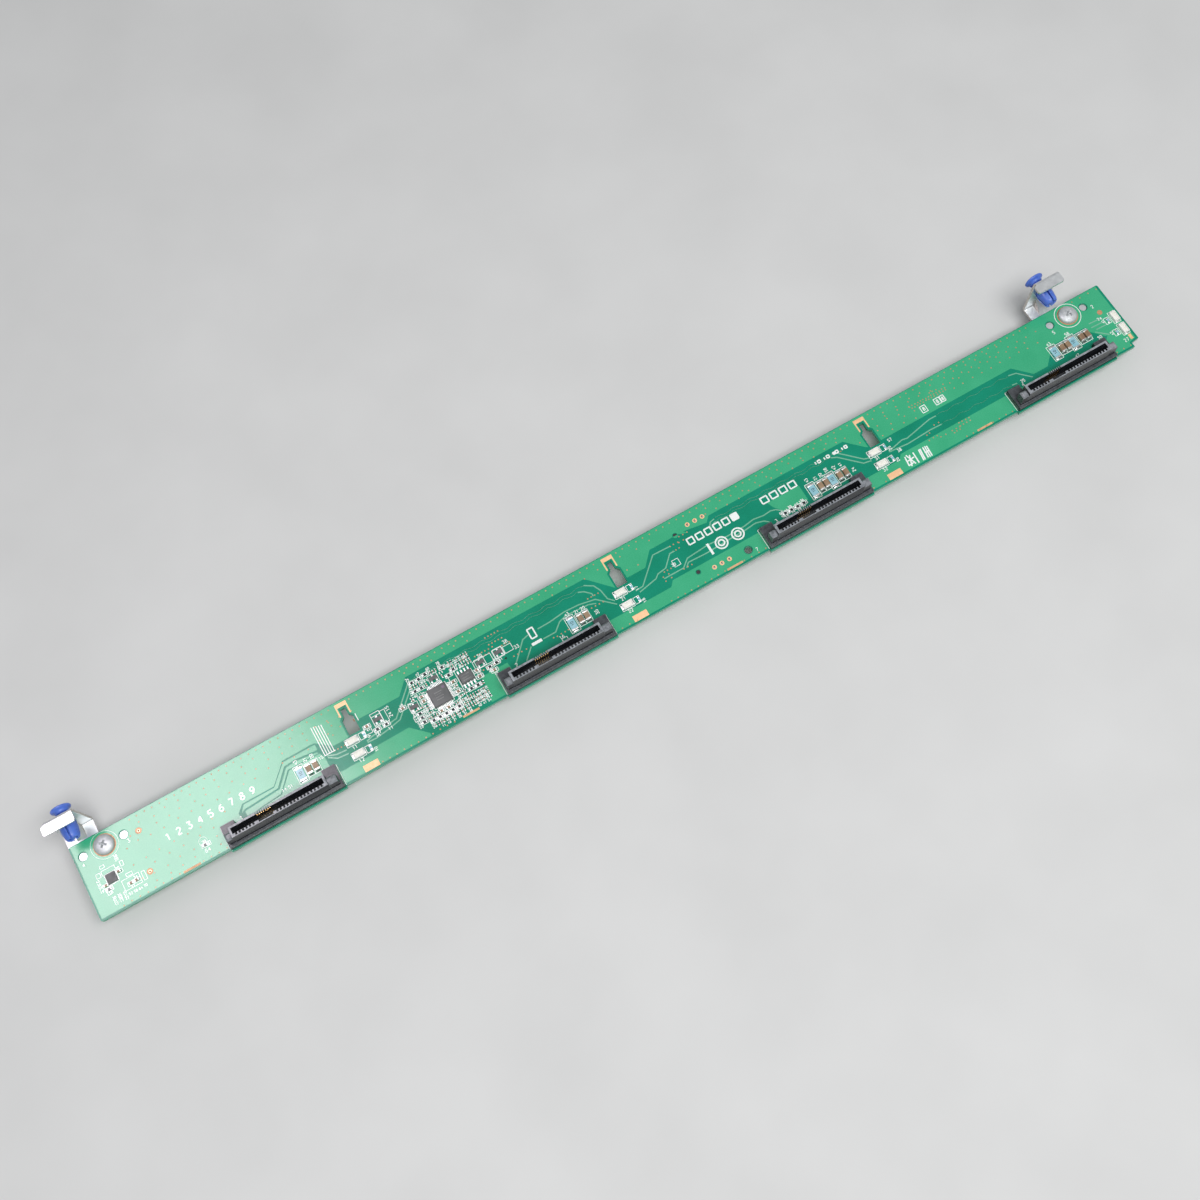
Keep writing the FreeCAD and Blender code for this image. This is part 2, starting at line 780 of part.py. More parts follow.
def gull_wings(body, plane, start, edge, reach, width):
    """Two facing leads: out of the package side, down, flat on the board."""
    leads = make_sketch(body, plane, start)
    for side in (-1, 1):
        outline(leads, [(f"{side} * ({edge} + ({out}))", height) for out, height in (
            ("0", "lead_shoulder"),
            ("lead_top_run + lead_sheet", "lead_shoulder"),
            ("lead_foot_start", "lead_sheet"),
            (reach, "lead_sheet"),
            (reach, "0"),
            ("lead_foot_start - lead_sheet", "0"),
            ("lead_top_run", "lead_shoulder - lead_sheet"),
            ("0", "lead_shoulder - lead_sheet"),
        )])
    return pad(body, leads, width, both=True)


def controller():
    moulded_chip("controller_chip", "controller_x", "controller_inset",
                 "controller_size", "controller_size", "controller_height")
    body = make_body("controller_leads", "controller_x", from_bottom("controller_inset"))
    half_row = "(controller_lead_count - 1) / 2 * controller_lead_pitch"
    for plane, start, role in (("YZ_Plane", f"-{half_row}", "X_Axis"),
                               ("XZ_Plane", half_row, "Y_Axis")):
        leads = gull_wings(body, plane, start, "controller_size / 2",
                           "controller_lead_reach", "controller_lead_width")
        pattern(body, leads, "controller_lead_pitch", "controller_lead_count", role)


def memory():
    moulded_chip("memory_chip", "memory_x", "memory_inset",
                 "memory_length", "memory_width", "memory_height")
    body = make_body("memory_leads", "memory_x", from_bottom("memory_inset"))
    leads = gull_wings(body, "YZ_Plane", "-(memory_lead_count - 1) / 2 * memory_lead_pitch",
                       "memory_width / 2", "memory_lead_reach", "memory_lead_width")
    pattern(body, leads, "memory_lead_pitch", "memory_lead_count")


# Transistors, small resistors and small capacitors: X from the board's
# centre and Y from its bottom edge.
TRANSISTORS = [("-100.3", "15.3"), ("-87.3", "12.8"), ("-76.8", "18.6"),
               ("-59.9", "15.4"), ("-52.6", "15.5")]
SMALL_RESISTORS = [
    ("-84.1", "20.9"), ("-81.4", "20.9"), ("-78.7", "21.4"), ("-72.3", "20.6"),
    ("-84.4", "17.6"), ("-82.0", "17.6"), ("-71.6", "16.9"), ("-69.2", "18.0"),
    ("-86.6", "9.6"), ("-86.6", "7.9"), ("-86.6", "6.2"), ("-83.5", "5.1"),
    ("-81.0", "5.1"), ("-78.5", "5.1"), ("-76.0", "5.1"), ("-73.5", "5.1"),
    ("-66.9", "8.6"), ("-64.3", "8.6"), ("-57.6", "12.3"), ("-54.9", "12.5"),
    ("-170.6", "5.9"), ("-98.4", "12.2"), ("-101.9", "12.2"), ("-204.9", "8.6"),
    ("61.6", "9.1"), ("64.2", "9.1"), ("66.8", "9.1"), ("69.4", "9.1"),
]
SMALL_CAPACITORS = [
    ("-199.8", "12.5"), ("-197.6", "6.8"), ("-195.6", "6.8"), ("-205.3", "10.2"),
    ("-83.4", "14.6"), ("-83.4", "12.9"), ("-71.4", "13.9"), ("-71.4", "10.0"),
    ("-79.6", "6.7"), ("-76.9", "6.7"), ("-62.3", "11.0"), ("-62.3", "13.4"),
    ("-104.7", "14.9"), ("-91.0", "14.3"), ("-56.8", "10.4"),
]


def seated(places):
    return [(x, from_bottom(inset)) for x, inset in places]


def small_parts():
    chip_group("sensor_chip", [("0", "0")], "sensor_size", "sensor_size",
               "sensor_height", "sensor_x", from_bottom("sensor_inset"))
    chip_group("small_resistors", seated(SMALL_RESISTORS), "small_chip_length",
               "small_chip_width", "small_resistor_height")
    chip_group("small_capacitors", seated(SMALL_CAPACITORS), "small_chip_length",
               "small_chip_width", "small_capacitor_height")
    chip_group("transistors", seated(TRANSISTORS), "transistor_length",
               "transistor_width", "transistor_height")


def transistor_leads():
    """Two leads on one side of each transistor and one on the other."""
    body = make_body("transistor_leads")
    feet = make_sketch(body, "XY_Plane")
    for x, y in seated(TRANSISTORS):
        low = f"{y} - transistor_width / 2"
        high = f"{y} + transistor_width / 2"
        half = "transistor_lead_width / 2"
        for shift in ("-transistor_lead_pitch", "transistor_lead_pitch"):
            rectangle(feet, f"{x} + {shift} - {half}", f"{low} - transistor_lead_reach",
                      f"{x} + {shift} + {half}", low)
        rectangle(feet, f"{x} - {half}", high,
                  f"{x} + {half}", f"{high} + transistor_lead_reach")
    pad(body, feet, "lead_sheet")


# ---------------------------------------------------------- latch brackets
# Each bracket is modelled about its screw, with Z = 0 on the board's back.

UPRIGHT_INNER = "(bracket_row_inset + bracket_upright_gap)"
UPRIGHT_OUTER = f"({UPRIGHT_INNER} + bracket_sheet)"
PLATE_EDGE = "(bracket_row_inset - bracket_plate_edge)"
FLANGE_TOP = "(bracket_height + board_thickness)"
PLUNGER_Z = "(plunger_height + board_thickness)"


def bracket(side):
    body = make_body(f"bracket_{side}", BRACKET_SCREW_X[side], BRACKET_SCREW_Y,
                     "-board_thickness")
    add_folded_strip(body)
    add_under_plate(body)
    add_rib(body)
    add_pips(body)
    cut_bracket_holes(body)


def add_folded_strip(body):
    """Tab, upright and top flange, folded from one strip of sheet."""
    strip = make_sketch(body, "YZ_Plane", "-bracket_tab_left - bracket_flange_overhang")
    flange_end = f"{UPRIGHT_OUTER} - bracket_flange_depth"
    outline(strip, [
        (PLATE_EDGE, "-bracket_sheet"),
        (UPRIGHT_OUTER, "-bracket_sheet"),
        (UPRIGHT_OUTER, FLANGE_TOP),
        (flange_end, FLANGE_TOP),
        (flange_end, f"{FLANGE_TOP} - bracket_sheet"),
        (UPRIGHT_INNER, f"{FLANGE_TOP} - bracket_sheet"),
        (UPRIGHT_INNER, "0"),
        (PLATE_EDGE, "0"),
    ])
    pad(body, strip, "bracket_tab_width + bracket_flange_overhang")
    dress(body, "Fillet", "bracket_bend_radius", lambda edge: along(edge, "x")
          and near(edge.BoundBox.YMax, UPRIGHT_OUTER))
    dress(body, "Fillet", "bracket_bend_radius - bracket_sheet",
          lambda edge: along(edge, "x") and near(edge.BoundBox.YMax, UPRIGHT_INNER))
    trim = make_sketch(body, "XZ_Plane", f"-{PLATE_EDGE}")
    left = "-bracket_tab_left - bracket_flange_overhang - cut_margin"
    right = "-bracket_tab_left + bracket_tab_width"
    rectangle(trim, left, "-bracket_sheet - cut_margin", "-bracket_tab_left",
              f"{FLANGE_TOP} - bracket_sheet")
    outline(trim, [
        (right, "0"),
        (f"{right} + cut_margin", "0"),
        (f"{right} + cut_margin", f"{FLANGE_TOP} + cut_margin"),
        (f"{right} - bracket_taper", f"{FLANGE_TOP} + cut_margin"),
        (f"{right} - bracket_taper", f"{FLANGE_TOP} - bracket_sheet"),
    ])
    pocket(body, trim, f"{UPRIGHT_OUTER} + cut_margin")
    relief = make_sketch(body, "XY_Plane", f"{FLANGE_TOP} + cut_margin")
    rectangle(relief, left, f"{UPRIGHT_OUTER} - bracket_bend_radius",
              "-bracket_tab_left", f"{UPRIGHT_OUTER} + cut_margin")
    pocket(body, relief, "bracket_sheet + bracket_bend_radius + cut_margin")
    dress(body, "Fillet", "bracket_flange_corner", is_flange_corner)


def is_flange_corner(edge):
    """The free corners of the top flange: both at its front, one behind."""
    box = edge.BoundBox
    free = near(box.YMin, f"{UPRIGHT_OUTER} - bracket_flange_depth") or near(
        box.XMin, "-bracket_tab_left - bracket_flange_overhang")
    return free and along(edge, "z") and box.ZMin > size("bracket_height - bracket_sheet")


def add_under_plate(body):
    """The part of the base that lies under the board and takes the screw."""
    plate = make_sketch(body, "XY_Plane")
    rectangle(plate, "-bracket_tab_left", "-bracket_plate_front",
              "bracket_plate_right", PLATE_EDGE)
    pad(body, plate, "bracket_sheet", down=True)


def add_rib(body):
    """A pressed rib stiffens the lower fold."""
    rib = make_sketch(body, "YZ_Plane", "-bracket_tab_left + bracket_tab_width / 2")
    outline(rib, [
        (f"{UPRIGHT_INNER} - bracket_rib_foot", "0"),
        (UPRIGHT_INNER, "bracket_rib_height"),
        (f"{UPRIGHT_INNER} + bracket_sheet / 2", "bracket_rib_height"),
        (f"{UPRIGHT_INNER} + bracket_sheet / 2", "-bracket_sheet / 2"),
        (f"{UPRIGHT_INNER} - bracket_rib_foot", "-bracket_sheet / 2"),
    ])
    pad(body, rib, "bracket_rib_width", both=True)


def add_pips(body):
    """Two pressed pips enter the board's locating holes."""
    pips = make_sketch(body, "XY_Plane")
    circle(pips, "-pip_left", "0", "pip_diameter")
    circle(pips, "pip_right", "0", "pip_diameter")
    pad(body, pips, "pip_height")


def cut_bracket_holes(body):
    screw = make_sketch(body, "XY_Plane")
    circle(screw, "0", "0", "screw_diameter + 2 * screw_clearance")
    pocket(body, screw, "bracket_sheet")
    plunger = make_sketch(body, "XZ_Plane", f"-{UPRIGHT_INNER}")
    circle(plunger, "-plunger_shift", PLUNGER_Z,
           "grommet_neck_diameter + 2 * grommet_hole_clearance")
    pocket(body, plunger, "bracket_sheet")


def bracket_screw(side):
    """A low domed head with a cross recess, and its shank."""
    body = make_body(f"bracket_screw_{side}", BRACKET_SCREW_X[side], BRACKET_SCREW_Y)
    half = make_sketch(body, "XZ_Plane")
    outline(half, [
        ("0", "screw_head_height - screw_length - board_thickness"),
        ("screw_diameter / 2", "screw_head_height - screw_length - board_thickness"),
        ("screw_diameter / 2", "0"),
        ("screw_head_diameter / 2", "0"),
        ("screw_head_diameter / 2", "screw_head_rim"),
        ("screw_shoulder_diameter / 2", "screw_shoulder_height"),
        ("screw_crown_diameter / 2", "screw_head_height"),
        ("0", "screw_head_height"),
    ])
    revolve(body, half, "V_Axis")
    for length, width in (("screw_recess_length", "screw_recess_width"),
                          ("screw_recess_width", "screw_recess_length")):
        cross = make_sketch(body, "XY_Plane", "screw_head_height")
        centred_rectangle(cross, "0", "0", length, width)
        pocket(body, cross, "screw_recess_depth")


# ---------------------------------------------------------- snap plungers
# Both pieces are modelled about the plunger's axis, which runs along Y,
# with Y = 0 on the outer face of the bracket's upright.

def plunger_body(label, side):
    return make_body(label, f"{BRACKET_SCREW_X[side]} - plunger_shift",
                     f"{BRACKET_SCREW_Y} + {UPRIGHT_OUTER}", "plunger_height")


def plunger_grommet(side):
    """A flanged grommet whose split barrel snaps through the upright."""
    body = plunger_body(f"plunger_grommet_{side}", side)
    inner_face = "-bracket_sheet"
    tip = f"({inner_face} - grommet_barrel_length)"
    bore = "pin_diameter / 2 + pin_clearance"
    half = make_sketch(body, "YZ_Plane")
    outline(half, [
        ("grommet_flange_thickness", bore),
        ("grommet_flange_thickness",
         "grommet_flange_diameter / 2 - grommet_flange_chamfer"),
        ("grommet_flange_thickness - grommet_flange_chamfer",
         "grommet_flange_diameter / 2"),
        ("0", "grommet_flange_diameter / 2"),
        ("0", "grommet_neck_diameter / 2"),
        (inner_face, "grommet_neck_diameter / 2"),
        (inner_face, "grommet_barrel_diameter / 2"),
        (f"{tip} + grommet_taper_length", "grommet_barrel_diameter / 2"),
        (f"{tip} + grommet_tip_length",
         "(grommet_tip_diameter + grommet_tip_swell) / 2"),
        (tip, "grommet_tip_diameter / 2"),
        (tip, bore),
    ])
    revolve(body, half, "H_Axis")
    for plane in ("XY_Plane", "YZ_Plane"):
        slot = make_sketch(body, plane)
        reach = f"{inner_face} - grommet_slot_root"
        width = "grommet_slot_width / 2"
        if plane == "XY_Plane":
            rectangle(slot, f"-{width}", f"{tip} - cut_margin", width, reach)
        else:
            rectangle(slot, f"{tip} - cut_margin", f"-{width}", reach, width)
        pocket(body, slot, "grommet_barrel_diameter + cut_margin", both=True)


def plunger_pin(side):
    """A mushroom-headed pin, drawn a little out of its grommet."""
    body = plunger_body(f"plunger_pin_{side}", side)
    neck = "(grommet_flange_thickness + pin_pull)"
    rim = f"({neck} + pin_cone_length)"
    tip = "(-bracket_sheet - grommet_barrel_length)"
    half = make_sketch(body, "YZ_Plane")
    outline(half, [
        (tip, "0"),
        (tip, "pin_tip_diameter / 2"),
        (f"{tip} + pin_tip_length", "pin_diameter / 2"),
        (neck, "pin_diameter / 2"),
        (neck, "pin_neck_diameter / 2"),
        (f"{neck} + pin_knee_length", "(pin_neck_diameter + pin_knee_swell) / 2"),
        (rim, "pin_head_diameter / 2"),
        (f"{rim} + pin_head_rim", "pin_head_diameter / 2"),
        (f"{rim} + pin_head_rim + pin_dome", "pin_dome_diameter / 2"),
        (f"{rim} + pin_head_rim + pin_dome", "0"),
    ])
    revolve(body, half, "H_Axis")


# ------------------------------------------------ cable socket on the back
# The socket hangs under the board and its mouth faces +X. Z = 0 is the
# board's back.

CABLE_SOCKET_Y = "(-board_width / 2 + cable_socket_inset)"
CAGE_LEG_Y = "(cable_socket_width / 2 + cage_sheet / 2)"
CAVITY_TOP = "(-cable_floor)"
CAVITY_LOW = "(-cable_floor - cable_cavity_height)"


def cable_body(label):
    return make_body(label, "cable_socket_x", CABLE_SOCKET_Y, "-board_thickness")


def cable_socket_housing():
    body = cable_body("cable_socket_housing")
    block = make_sketch(body, "XY_Plane")
    centred_rectangle(block, "0", "0", "cable_socket_depth", "cable_socket_width")
    pad(body, block, "cable_socket_height", down=True)
    mouth = make_sketch(body, "YZ_Plane", "cable_socket_depth / 2")
    half = "cable_cavity_width / 2"
    key = "cable_key_width / 2"
    outline(mouth, [
        (f"-{half}", CAVITY_LOW),
        (f"-{key}", CAVITY_LOW),
        (f"-{key}", f"{CAVITY_LOW} - cable_key_depth"),
        (key, f"{CAVITY_LOW} - cable_key_depth"),
        (key, CAVITY_LOW),
        (half, CAVITY_LOW),
        (half, CAVITY_TOP),
        (f"-{half}", CAVITY_TOP),
    ])
    pocket(body, mouth, "cable_cavity_depth")
    pegs = make_sketch(body, "XY_Plane")
    for side in (-1, 1):
        circle(pegs, "peg_x - cable_socket_x", f"{side} * peg_spacing / 2",
               "peg_diameter")
    pad(body, pegs, "board_thickness")


def cable_socket_cage():
    """A sheet cage folded round three sides, with six legs in the board."""
    body = cable_body("cable_socket_cage")
    half = "cable_socket_width / 2"
    outer = f"({half} + cage_sheet)"
    shell = make_sketch(body, "YZ_Plane", "-cable_socket_depth / 2")
    outline(shell, [
        (f"-{outer}", "0"),
        (f"-{outer}", "-cable_socket_height - cage_sheet"),
        (outer, "-cable_socket_height - cage_sheet"),
        (outer, "0"),
        (half, "0"),
        (half, "-cable_socket_height"),
        (f"-{half}", "-cable_socket_height"),
        (f"-{half}", "0"),
    ])
    pad(body, shell, "cable_socket_depth")
    legs = make_sketch(body, "XY_Plane")
    for side in (-1, 1):
        centred_rectangle(legs, "cage_leg_first - cable_socket_x",
                          f"{side} * {CAGE_LEG_Y}", "cage_leg_width", "cage_sheet")
    pattern(body, pad(body, legs, "cage_leg_length"), "cage_leg_pitch", "3")


def cable_socket_contacts():
    """Two rows of flat contacts on the cavity's floor and roof."""
    body = cable_body("cable_socket_contacts")
    rows = make_sketch(body, "XZ_Plane",
                       "-(cable_contact_count - 1) / 2 * cable_contact_pitch")
    start = "cable_socket_depth / 2 - cable_cavity_depth"
    end = f"{start} + cable_contact_length"
    rectangle(rows, start, f"{CAVITY_TOP} - cable_contact_sheet", end, CAVITY_TOP)
    rectangle(rows, start, CAVITY_LOW, end, f"{CAVITY_LOW} + cable_contact_sheet")
    blades = pad(body, rows, "cable_contact_width", both=True)
    row = pattern(body, blades, "cable_contact_pitch", "cable_contact_count", "Y_Axis")
    row.Reversed = True


# ------------------------------------------------ power header on the back

def header_body(label):
    return make_body(label, "header_x", from_bottom("header_inset"), "-board_thickness")


def power_header_housing():
    body = header_body("power_header_housing")
    shroud = make_sketch(body, "XY_Plane")
    centred_rectangle(shroud, "0", "0", "header_length", "header_width")
    pad(body, shroud, "header_height", down=True)
    cavity = make_sketch(body, "XY_Plane", "-header_height")
    centred_rectangle(cavity, "0", "0", "header_length - 2 * header_wall",
                      "header_width - 2 * header_wall")
    pocket(body, cavity, "header_height - header_floor", up=True)
    notch = make_sketch(body, "XY_Plane", "-header_height")
    rectangle(notch, "-header_notch_width / 2", "header_width / 2 - header_wall",
              "header_notch_width / 2", "header_width / 2 + cut_margin")
    pocket(body, notch, "header_notch_depth", up=True)
    cut_header_pin_holes(body)


def cut_header_pin_holes(body):
    first = "-(header_pin_count - 1) / 2 * header_pin_pitch"
    holes = make_sketch(body, "XY_Plane")
    for side in (-1, 1):
        centred_rectangle(holes, first, f"{side} * header_row_spacing / 2",
                          "header_pin_width", "header_pin_width")
    pattern(body, pocket(body, holes, "header_floor"),
            "header_pin_pitch", "header_pin_count")
    channels = make_sketch(body, "XY_Plane")
    for side in (-1, 1):
        rectangle(channels, f"{first} - header_pin_width / 2",
                  f"{side} * header_row_spacing / 2",
                  f"{first} + header_pin_width / 2",
                  f"{side} * (header_width / 2 + cut_margin)")
    pattern(body, pocket(body, channels, "header_tail_sheet"),
            "header_pin_pitch", "header_pin_count")


def power_header_pins():
    """Square pins that turn outwards into flat tails on the board."""
    body = header_body("power_header_pins")
    pins = make_sketch(body, "YZ_Plane", "-(header_pin_count - 1) / 2 * header_pin_pitch")
    inner = "(header_row_spacing / 2 - header_pin_width / 2)"
    outer = "(header_row_spacing / 2 + header_pin_width / 2)"
    tail = "(header_width / 2 + header_tail_reach)"
    for side in (-1, 1):
        outline(pins, [
            (f"{side} * {inner}", "0"),
            (f"{side} * {inner}", "-header_pin_height"),
            (f"{side} * {outer}", "-header_pin_height"),
            (f"{side} * {outer}", "-header_tail_sheet"),
            (f"{side} * {tail}", "-header_tail_sheet"),
            (f"{side} * {tail}", "0"),
        ])
    pattern(body, pad(body, pins, "header_pin_width", both=True),
            "header_pin_pitch", "header_pin_count")


# ------------------------------------------------------- build and export

def build():
    fill_sheet()
    circuit_board()
    for bay in BAYS:
        drive_socket_housing(bay)
        socket_contacts(bay)
        status_lights(bay)
        power_filter(bay)
    controller()
    memory()
    small_parts()
    transistor_leads()
    for side in BRACKET_SCREW_X:
        bracket(side)
        bracket_screw(side)
        plunger_grommet(side)
        plunger_pin(side)
    cable_socket_housing()
    cable_socket_cage()
    cable_socket_contacts()
    power_header_housing()
    power_header_pins()
    doc.recompute()


def check():
    for item in doc.Objects:
        if {"Invalid", "Error"} & set(item.State):
            raise ValueError(f"{item.Label} did not compute: {item.State}")
    for body in parts:
        if body.Shape.isNull() or not body.Shape.isValid():
            raise ValueError(f"{body.Label} has no valid shape")


def export():
    os.makedirs("parts", exist_ok=True)
    for body in parts:
        body.Shape.exportStep(f"parts/{body.Label}.step")
        print(f"{body.Label}: {len(body.Shape.Solids)} solids")


build()
check()
export()
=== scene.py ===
# %% [markdown]
# # A drive backplane board
# A drive backplane is the long circuit board at the back of a row of drive
# bays. Each drive pushes its edge connector into one of the four sockets, and
# two small status lights beside each socket shine through the bay's front.
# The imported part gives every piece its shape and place. This script gives
# them their looks: solder mask over copper, ink, gold, tin, moulded plastic
# and zinc plated steel.

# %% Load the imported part
import json
import math
import random
import bmesh
import bpy
from mathutils import Matrix, Vector

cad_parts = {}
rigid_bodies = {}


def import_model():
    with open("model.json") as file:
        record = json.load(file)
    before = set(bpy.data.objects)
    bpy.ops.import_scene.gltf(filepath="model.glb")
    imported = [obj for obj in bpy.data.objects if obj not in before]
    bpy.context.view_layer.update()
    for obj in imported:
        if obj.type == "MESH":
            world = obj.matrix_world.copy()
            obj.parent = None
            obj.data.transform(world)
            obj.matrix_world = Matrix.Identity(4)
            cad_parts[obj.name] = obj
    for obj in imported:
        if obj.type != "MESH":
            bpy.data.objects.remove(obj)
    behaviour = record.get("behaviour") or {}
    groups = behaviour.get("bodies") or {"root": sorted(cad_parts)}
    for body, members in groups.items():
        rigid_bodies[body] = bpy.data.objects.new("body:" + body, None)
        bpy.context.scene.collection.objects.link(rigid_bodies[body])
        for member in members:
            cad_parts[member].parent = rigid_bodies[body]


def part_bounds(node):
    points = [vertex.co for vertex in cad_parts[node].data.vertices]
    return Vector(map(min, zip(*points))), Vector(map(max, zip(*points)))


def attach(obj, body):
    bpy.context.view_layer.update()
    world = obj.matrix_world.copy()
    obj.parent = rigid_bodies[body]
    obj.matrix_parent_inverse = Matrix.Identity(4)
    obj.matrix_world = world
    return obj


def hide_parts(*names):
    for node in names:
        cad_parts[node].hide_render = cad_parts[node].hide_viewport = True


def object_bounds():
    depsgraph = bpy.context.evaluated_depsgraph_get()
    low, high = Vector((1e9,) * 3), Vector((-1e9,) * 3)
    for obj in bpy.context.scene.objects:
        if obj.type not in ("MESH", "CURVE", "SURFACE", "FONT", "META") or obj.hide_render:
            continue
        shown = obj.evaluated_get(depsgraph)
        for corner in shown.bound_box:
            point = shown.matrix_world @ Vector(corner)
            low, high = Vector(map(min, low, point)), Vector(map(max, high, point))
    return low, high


for leftover in list(bpy.data.objects):
    bpy.data.objects.remove(leftover)
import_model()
part_box = [list(corner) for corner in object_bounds()]

# %% [markdown]
# ## Where things are
# A board is laid out on a grid whose corner lies just inside one corner of the
# board. `spot` measures the same way: it takes millimetres along, across and
# above the socket face, and gives a place in the scene's metres. The corner is
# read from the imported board, which has a small tab under each socket.

# %% Measure the board
MM = 0.001
TAB_DROP = 0.8
GRID_INSET = (0.1, 0.8)
board_low, board_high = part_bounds("circuit_board")
BACK = board_low.z / MM
LEFT = board_low.x + GRID_INSET[0] * MM
BOTTOM = board_low.y + (TAB_DROP + GRID_INSET[1]) * MM
LENGTH = (board_high.x - LEFT) / MM
WIDTH = (board_high.y - BOTTOM) / MM
BAYS = (1, 2, 3, 4)


def spot(x, y, z=0.0):
    return Vector((LEFT + x * MM, BOTTOM + y * MM, z * MM))


def middle(low, high):
    """The middle of a box, in millimetres from the board's corner."""
    centre = (low + high) / 2
    return (centre.x - LEFT) / MM, (centre.y - BOTTOM) / MM, centre.z / MM


def sides_of(low, high):
    """The left, near, right and far sides of a box, in the same millimetres."""
    return (*middle(low, low)[:2], *middle(high, high)[:2])


HOOK_FROM_BAY = 32.7
bay_x = {bay: middle(*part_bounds(f"drive_socket_housing_{bay}"))[0] for bay in BAYS}
hook_x = [bay_x[bay] + HOOK_FROM_BAY for bay in BAYS[:3]]
screw_at = {side: middle(*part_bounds(f"bracket_screw_{side}"))[:2]
            for side in ("left", "right")}
print("board grid", round(LENGTH, 1), "x", round(WIDTH, 1), "mm, bays at",
      [round(x, 1) for x in bay_x.values()])

# %% [markdown]
# ## Two helpers for node trees
# Materials and geometry trees are both built from nodes. `add` makes a node,
# sets its options and fills its inputs: an input that is given another node's
# socket is linked, and one that is given a value holds that value.

# %% Helpers for node trees
def add(tree, kind, inputs=None, **options):
    node = tree.nodes.new(kind)
    for name, value in options.items():
        setattr(node, name, value)
    for key, value in (inputs or {}).items():
        if isinstance(value, bpy.types.NodeSocket):
            tree.links.new(value, node.inputs[key])
        else:
            node.inputs[key].default_value = value
    return node


def finish_named(name, **fixed):
    """A new material, its tree and its main shader, with fixed values set."""
    material = bpy.data.materials.new(name)
    material.use_nodes = True
    shader = material.node_tree.nodes["Principled BSDF"]
    for key, value in fixed.items():
        shader.inputs[key.replace("_", " ")].default_value = value
    return material, material.node_tree, shader


def place(tree, stretch=(1, 1, 1)):
    """Object coordinates, stretched to draw a pattern out along an axis."""
    source = add(tree, "ShaderNodeTexCoord").outputs["Object"]
    return add(tree, "ShaderNodeMapping", {"Vector": source, "Scale": stretch}).outputs[0]


def noise(tree, per_mm, detail=3.0, stretch=(1, 1, 1), rough=0.5):
    """Cloudy values from 0 to 1, with about per_mm clouds in a millimetre."""
    return add(tree, "ShaderNodeTexNoise",
               {"Vector": place(tree, stretch), "Scale": per_mm / MM,
                "Detail": detail, "Roughness": rough}).outputs[0]


def ramp(tree, value, *stops):
    """Colours along a value: each stop is a position and a colour."""
    made = add(tree, "ShaderNodeValToRGB", {"Fac": value})
    while len(made.color_ramp.elements) < len(stops):
        made.color_ramp.elements.new(0.5)
    for element, (position, colour) in zip(made.color_ramp.elements, stops):
        element.position = position
        element.color = (*colour, 1)
    return made.outputs["Color"]


def span(tree, value, low, high, start=0.3, end=0.7):
    """A value spread between low and high."""
    return add(tree, "ShaderNodeMapRange",
               {"Value": value, "From Min": start, "From Max": end,
                "To Min": low, "To Max": high}).outputs[0]


def relief(tree, shader, height, depth, strength=0.5):
    """Small bumps whose depth is given in millimetres."""
    made = add(tree, "ShaderNodeBump",
               {"Height": height, "Distance": depth * MM, "Strength": strength})
    tree.links.new(made.outputs[0], shader.inputs["Normal"])


def blend_colours(tree, share, first, second):
    made = add(tree, "ShaderNodeMix", data_type="RGBA")
    for index, value in ((0, share), (6, first), (7, second)):
        if isinstance(value, bpy.types.NodeSocket):
            tree.links.new(value, made.inputs[index])
        else:
            made.inputs[index].default_value = (*value, 1) if index else value
    return made.outputs[2]


def facing(tree, axis):
    """1 on faces square to an axis, 0 on faces that lie along it."""
    normal = add(tree, "ShaderNodeNewGeometry").outputs["True Normal"]
    parts = add(tree, "ShaderNodeSeparateXYZ", {"Vector": normal})
    size = add(tree, "ShaderNodeMath", {0: parts.outputs[axis]}, operation="ABSOLUTE")
    return add(tree, "ShaderNodeMath", {0: size.outputs[0], 1: 0.7},
               operation="GREATER_THAN").outputs[0]


# %% [markdown]
# ## The board's greens
# Solder mask is a thin glossy lacquer. Over bare laminate it looks deep teal,
# because the light goes on into the glass fibre. Over copper it looks a
# brighter mint. A real board shows that change wherever the copper stops, so
# the two get a finish each. The cut edge shows no mask at all but the pale
# layered laminate, which a face's own direction picks out here.

# %% Solder mask and laminate
def mask_finish(name, dark, light, edge=None, gloss=0.5, lacquer=0.2):
    material, tree, shader = finish_named(name, Specular_IOR_Level=gloss,
                                          Coat_Weight=lacquer, Coat_Roughness=0.12)
    cloud = noise(tree, 0.09, 2)
    speck = noise(tree, 2.4, 2)
    both = add(tree, "ShaderNodeMath", {0: cloud, 1: speck}, operation="ADD").outputs[0]
    colour = ramp(tree, span(tree, both, 0, 1, 0.7, 1.3), (0, dark), (1, light))
    if edge:
        layers = noise(tree, 1.2, 2, (1, 1, 9))
        laminate = ramp(tree, layers, (0.3, edge[0]), (0.7, edge[1]))
        colour = blend_colours(tree, facing(tree, 2), laminate, colour)
    tree.links.new(colour, shader.inputs["Base Color"])
    tree.links.new(span(tree, speck, 0.18, 0.24), shader.inputs["Roughness"])
    relief(tree, shader, noise(tree, 0.7, 3), 0.02, 0.35)
    return material


mask_on_laminate = mask_finish(
    "mask_on_laminate", (0.002, 0.212, 0.121), (0.005, 0.275, 0.170),
    edge=((0.03, 0.29, 0.16), (0.09, 0.40, 0.25)), gloss=0.3, lacquer=0.0)
mask_on_copper = mask_finish(
    "mask_on_copper", (0.030, 0.378, 0.182), (0.052, 0.436, 0.225))
mask_on_trace = mask_finish(
    "mask_on_trace", (0.150, 0.420, 0.280), (0.210, 0.490, 0.340))
print("three greens made")

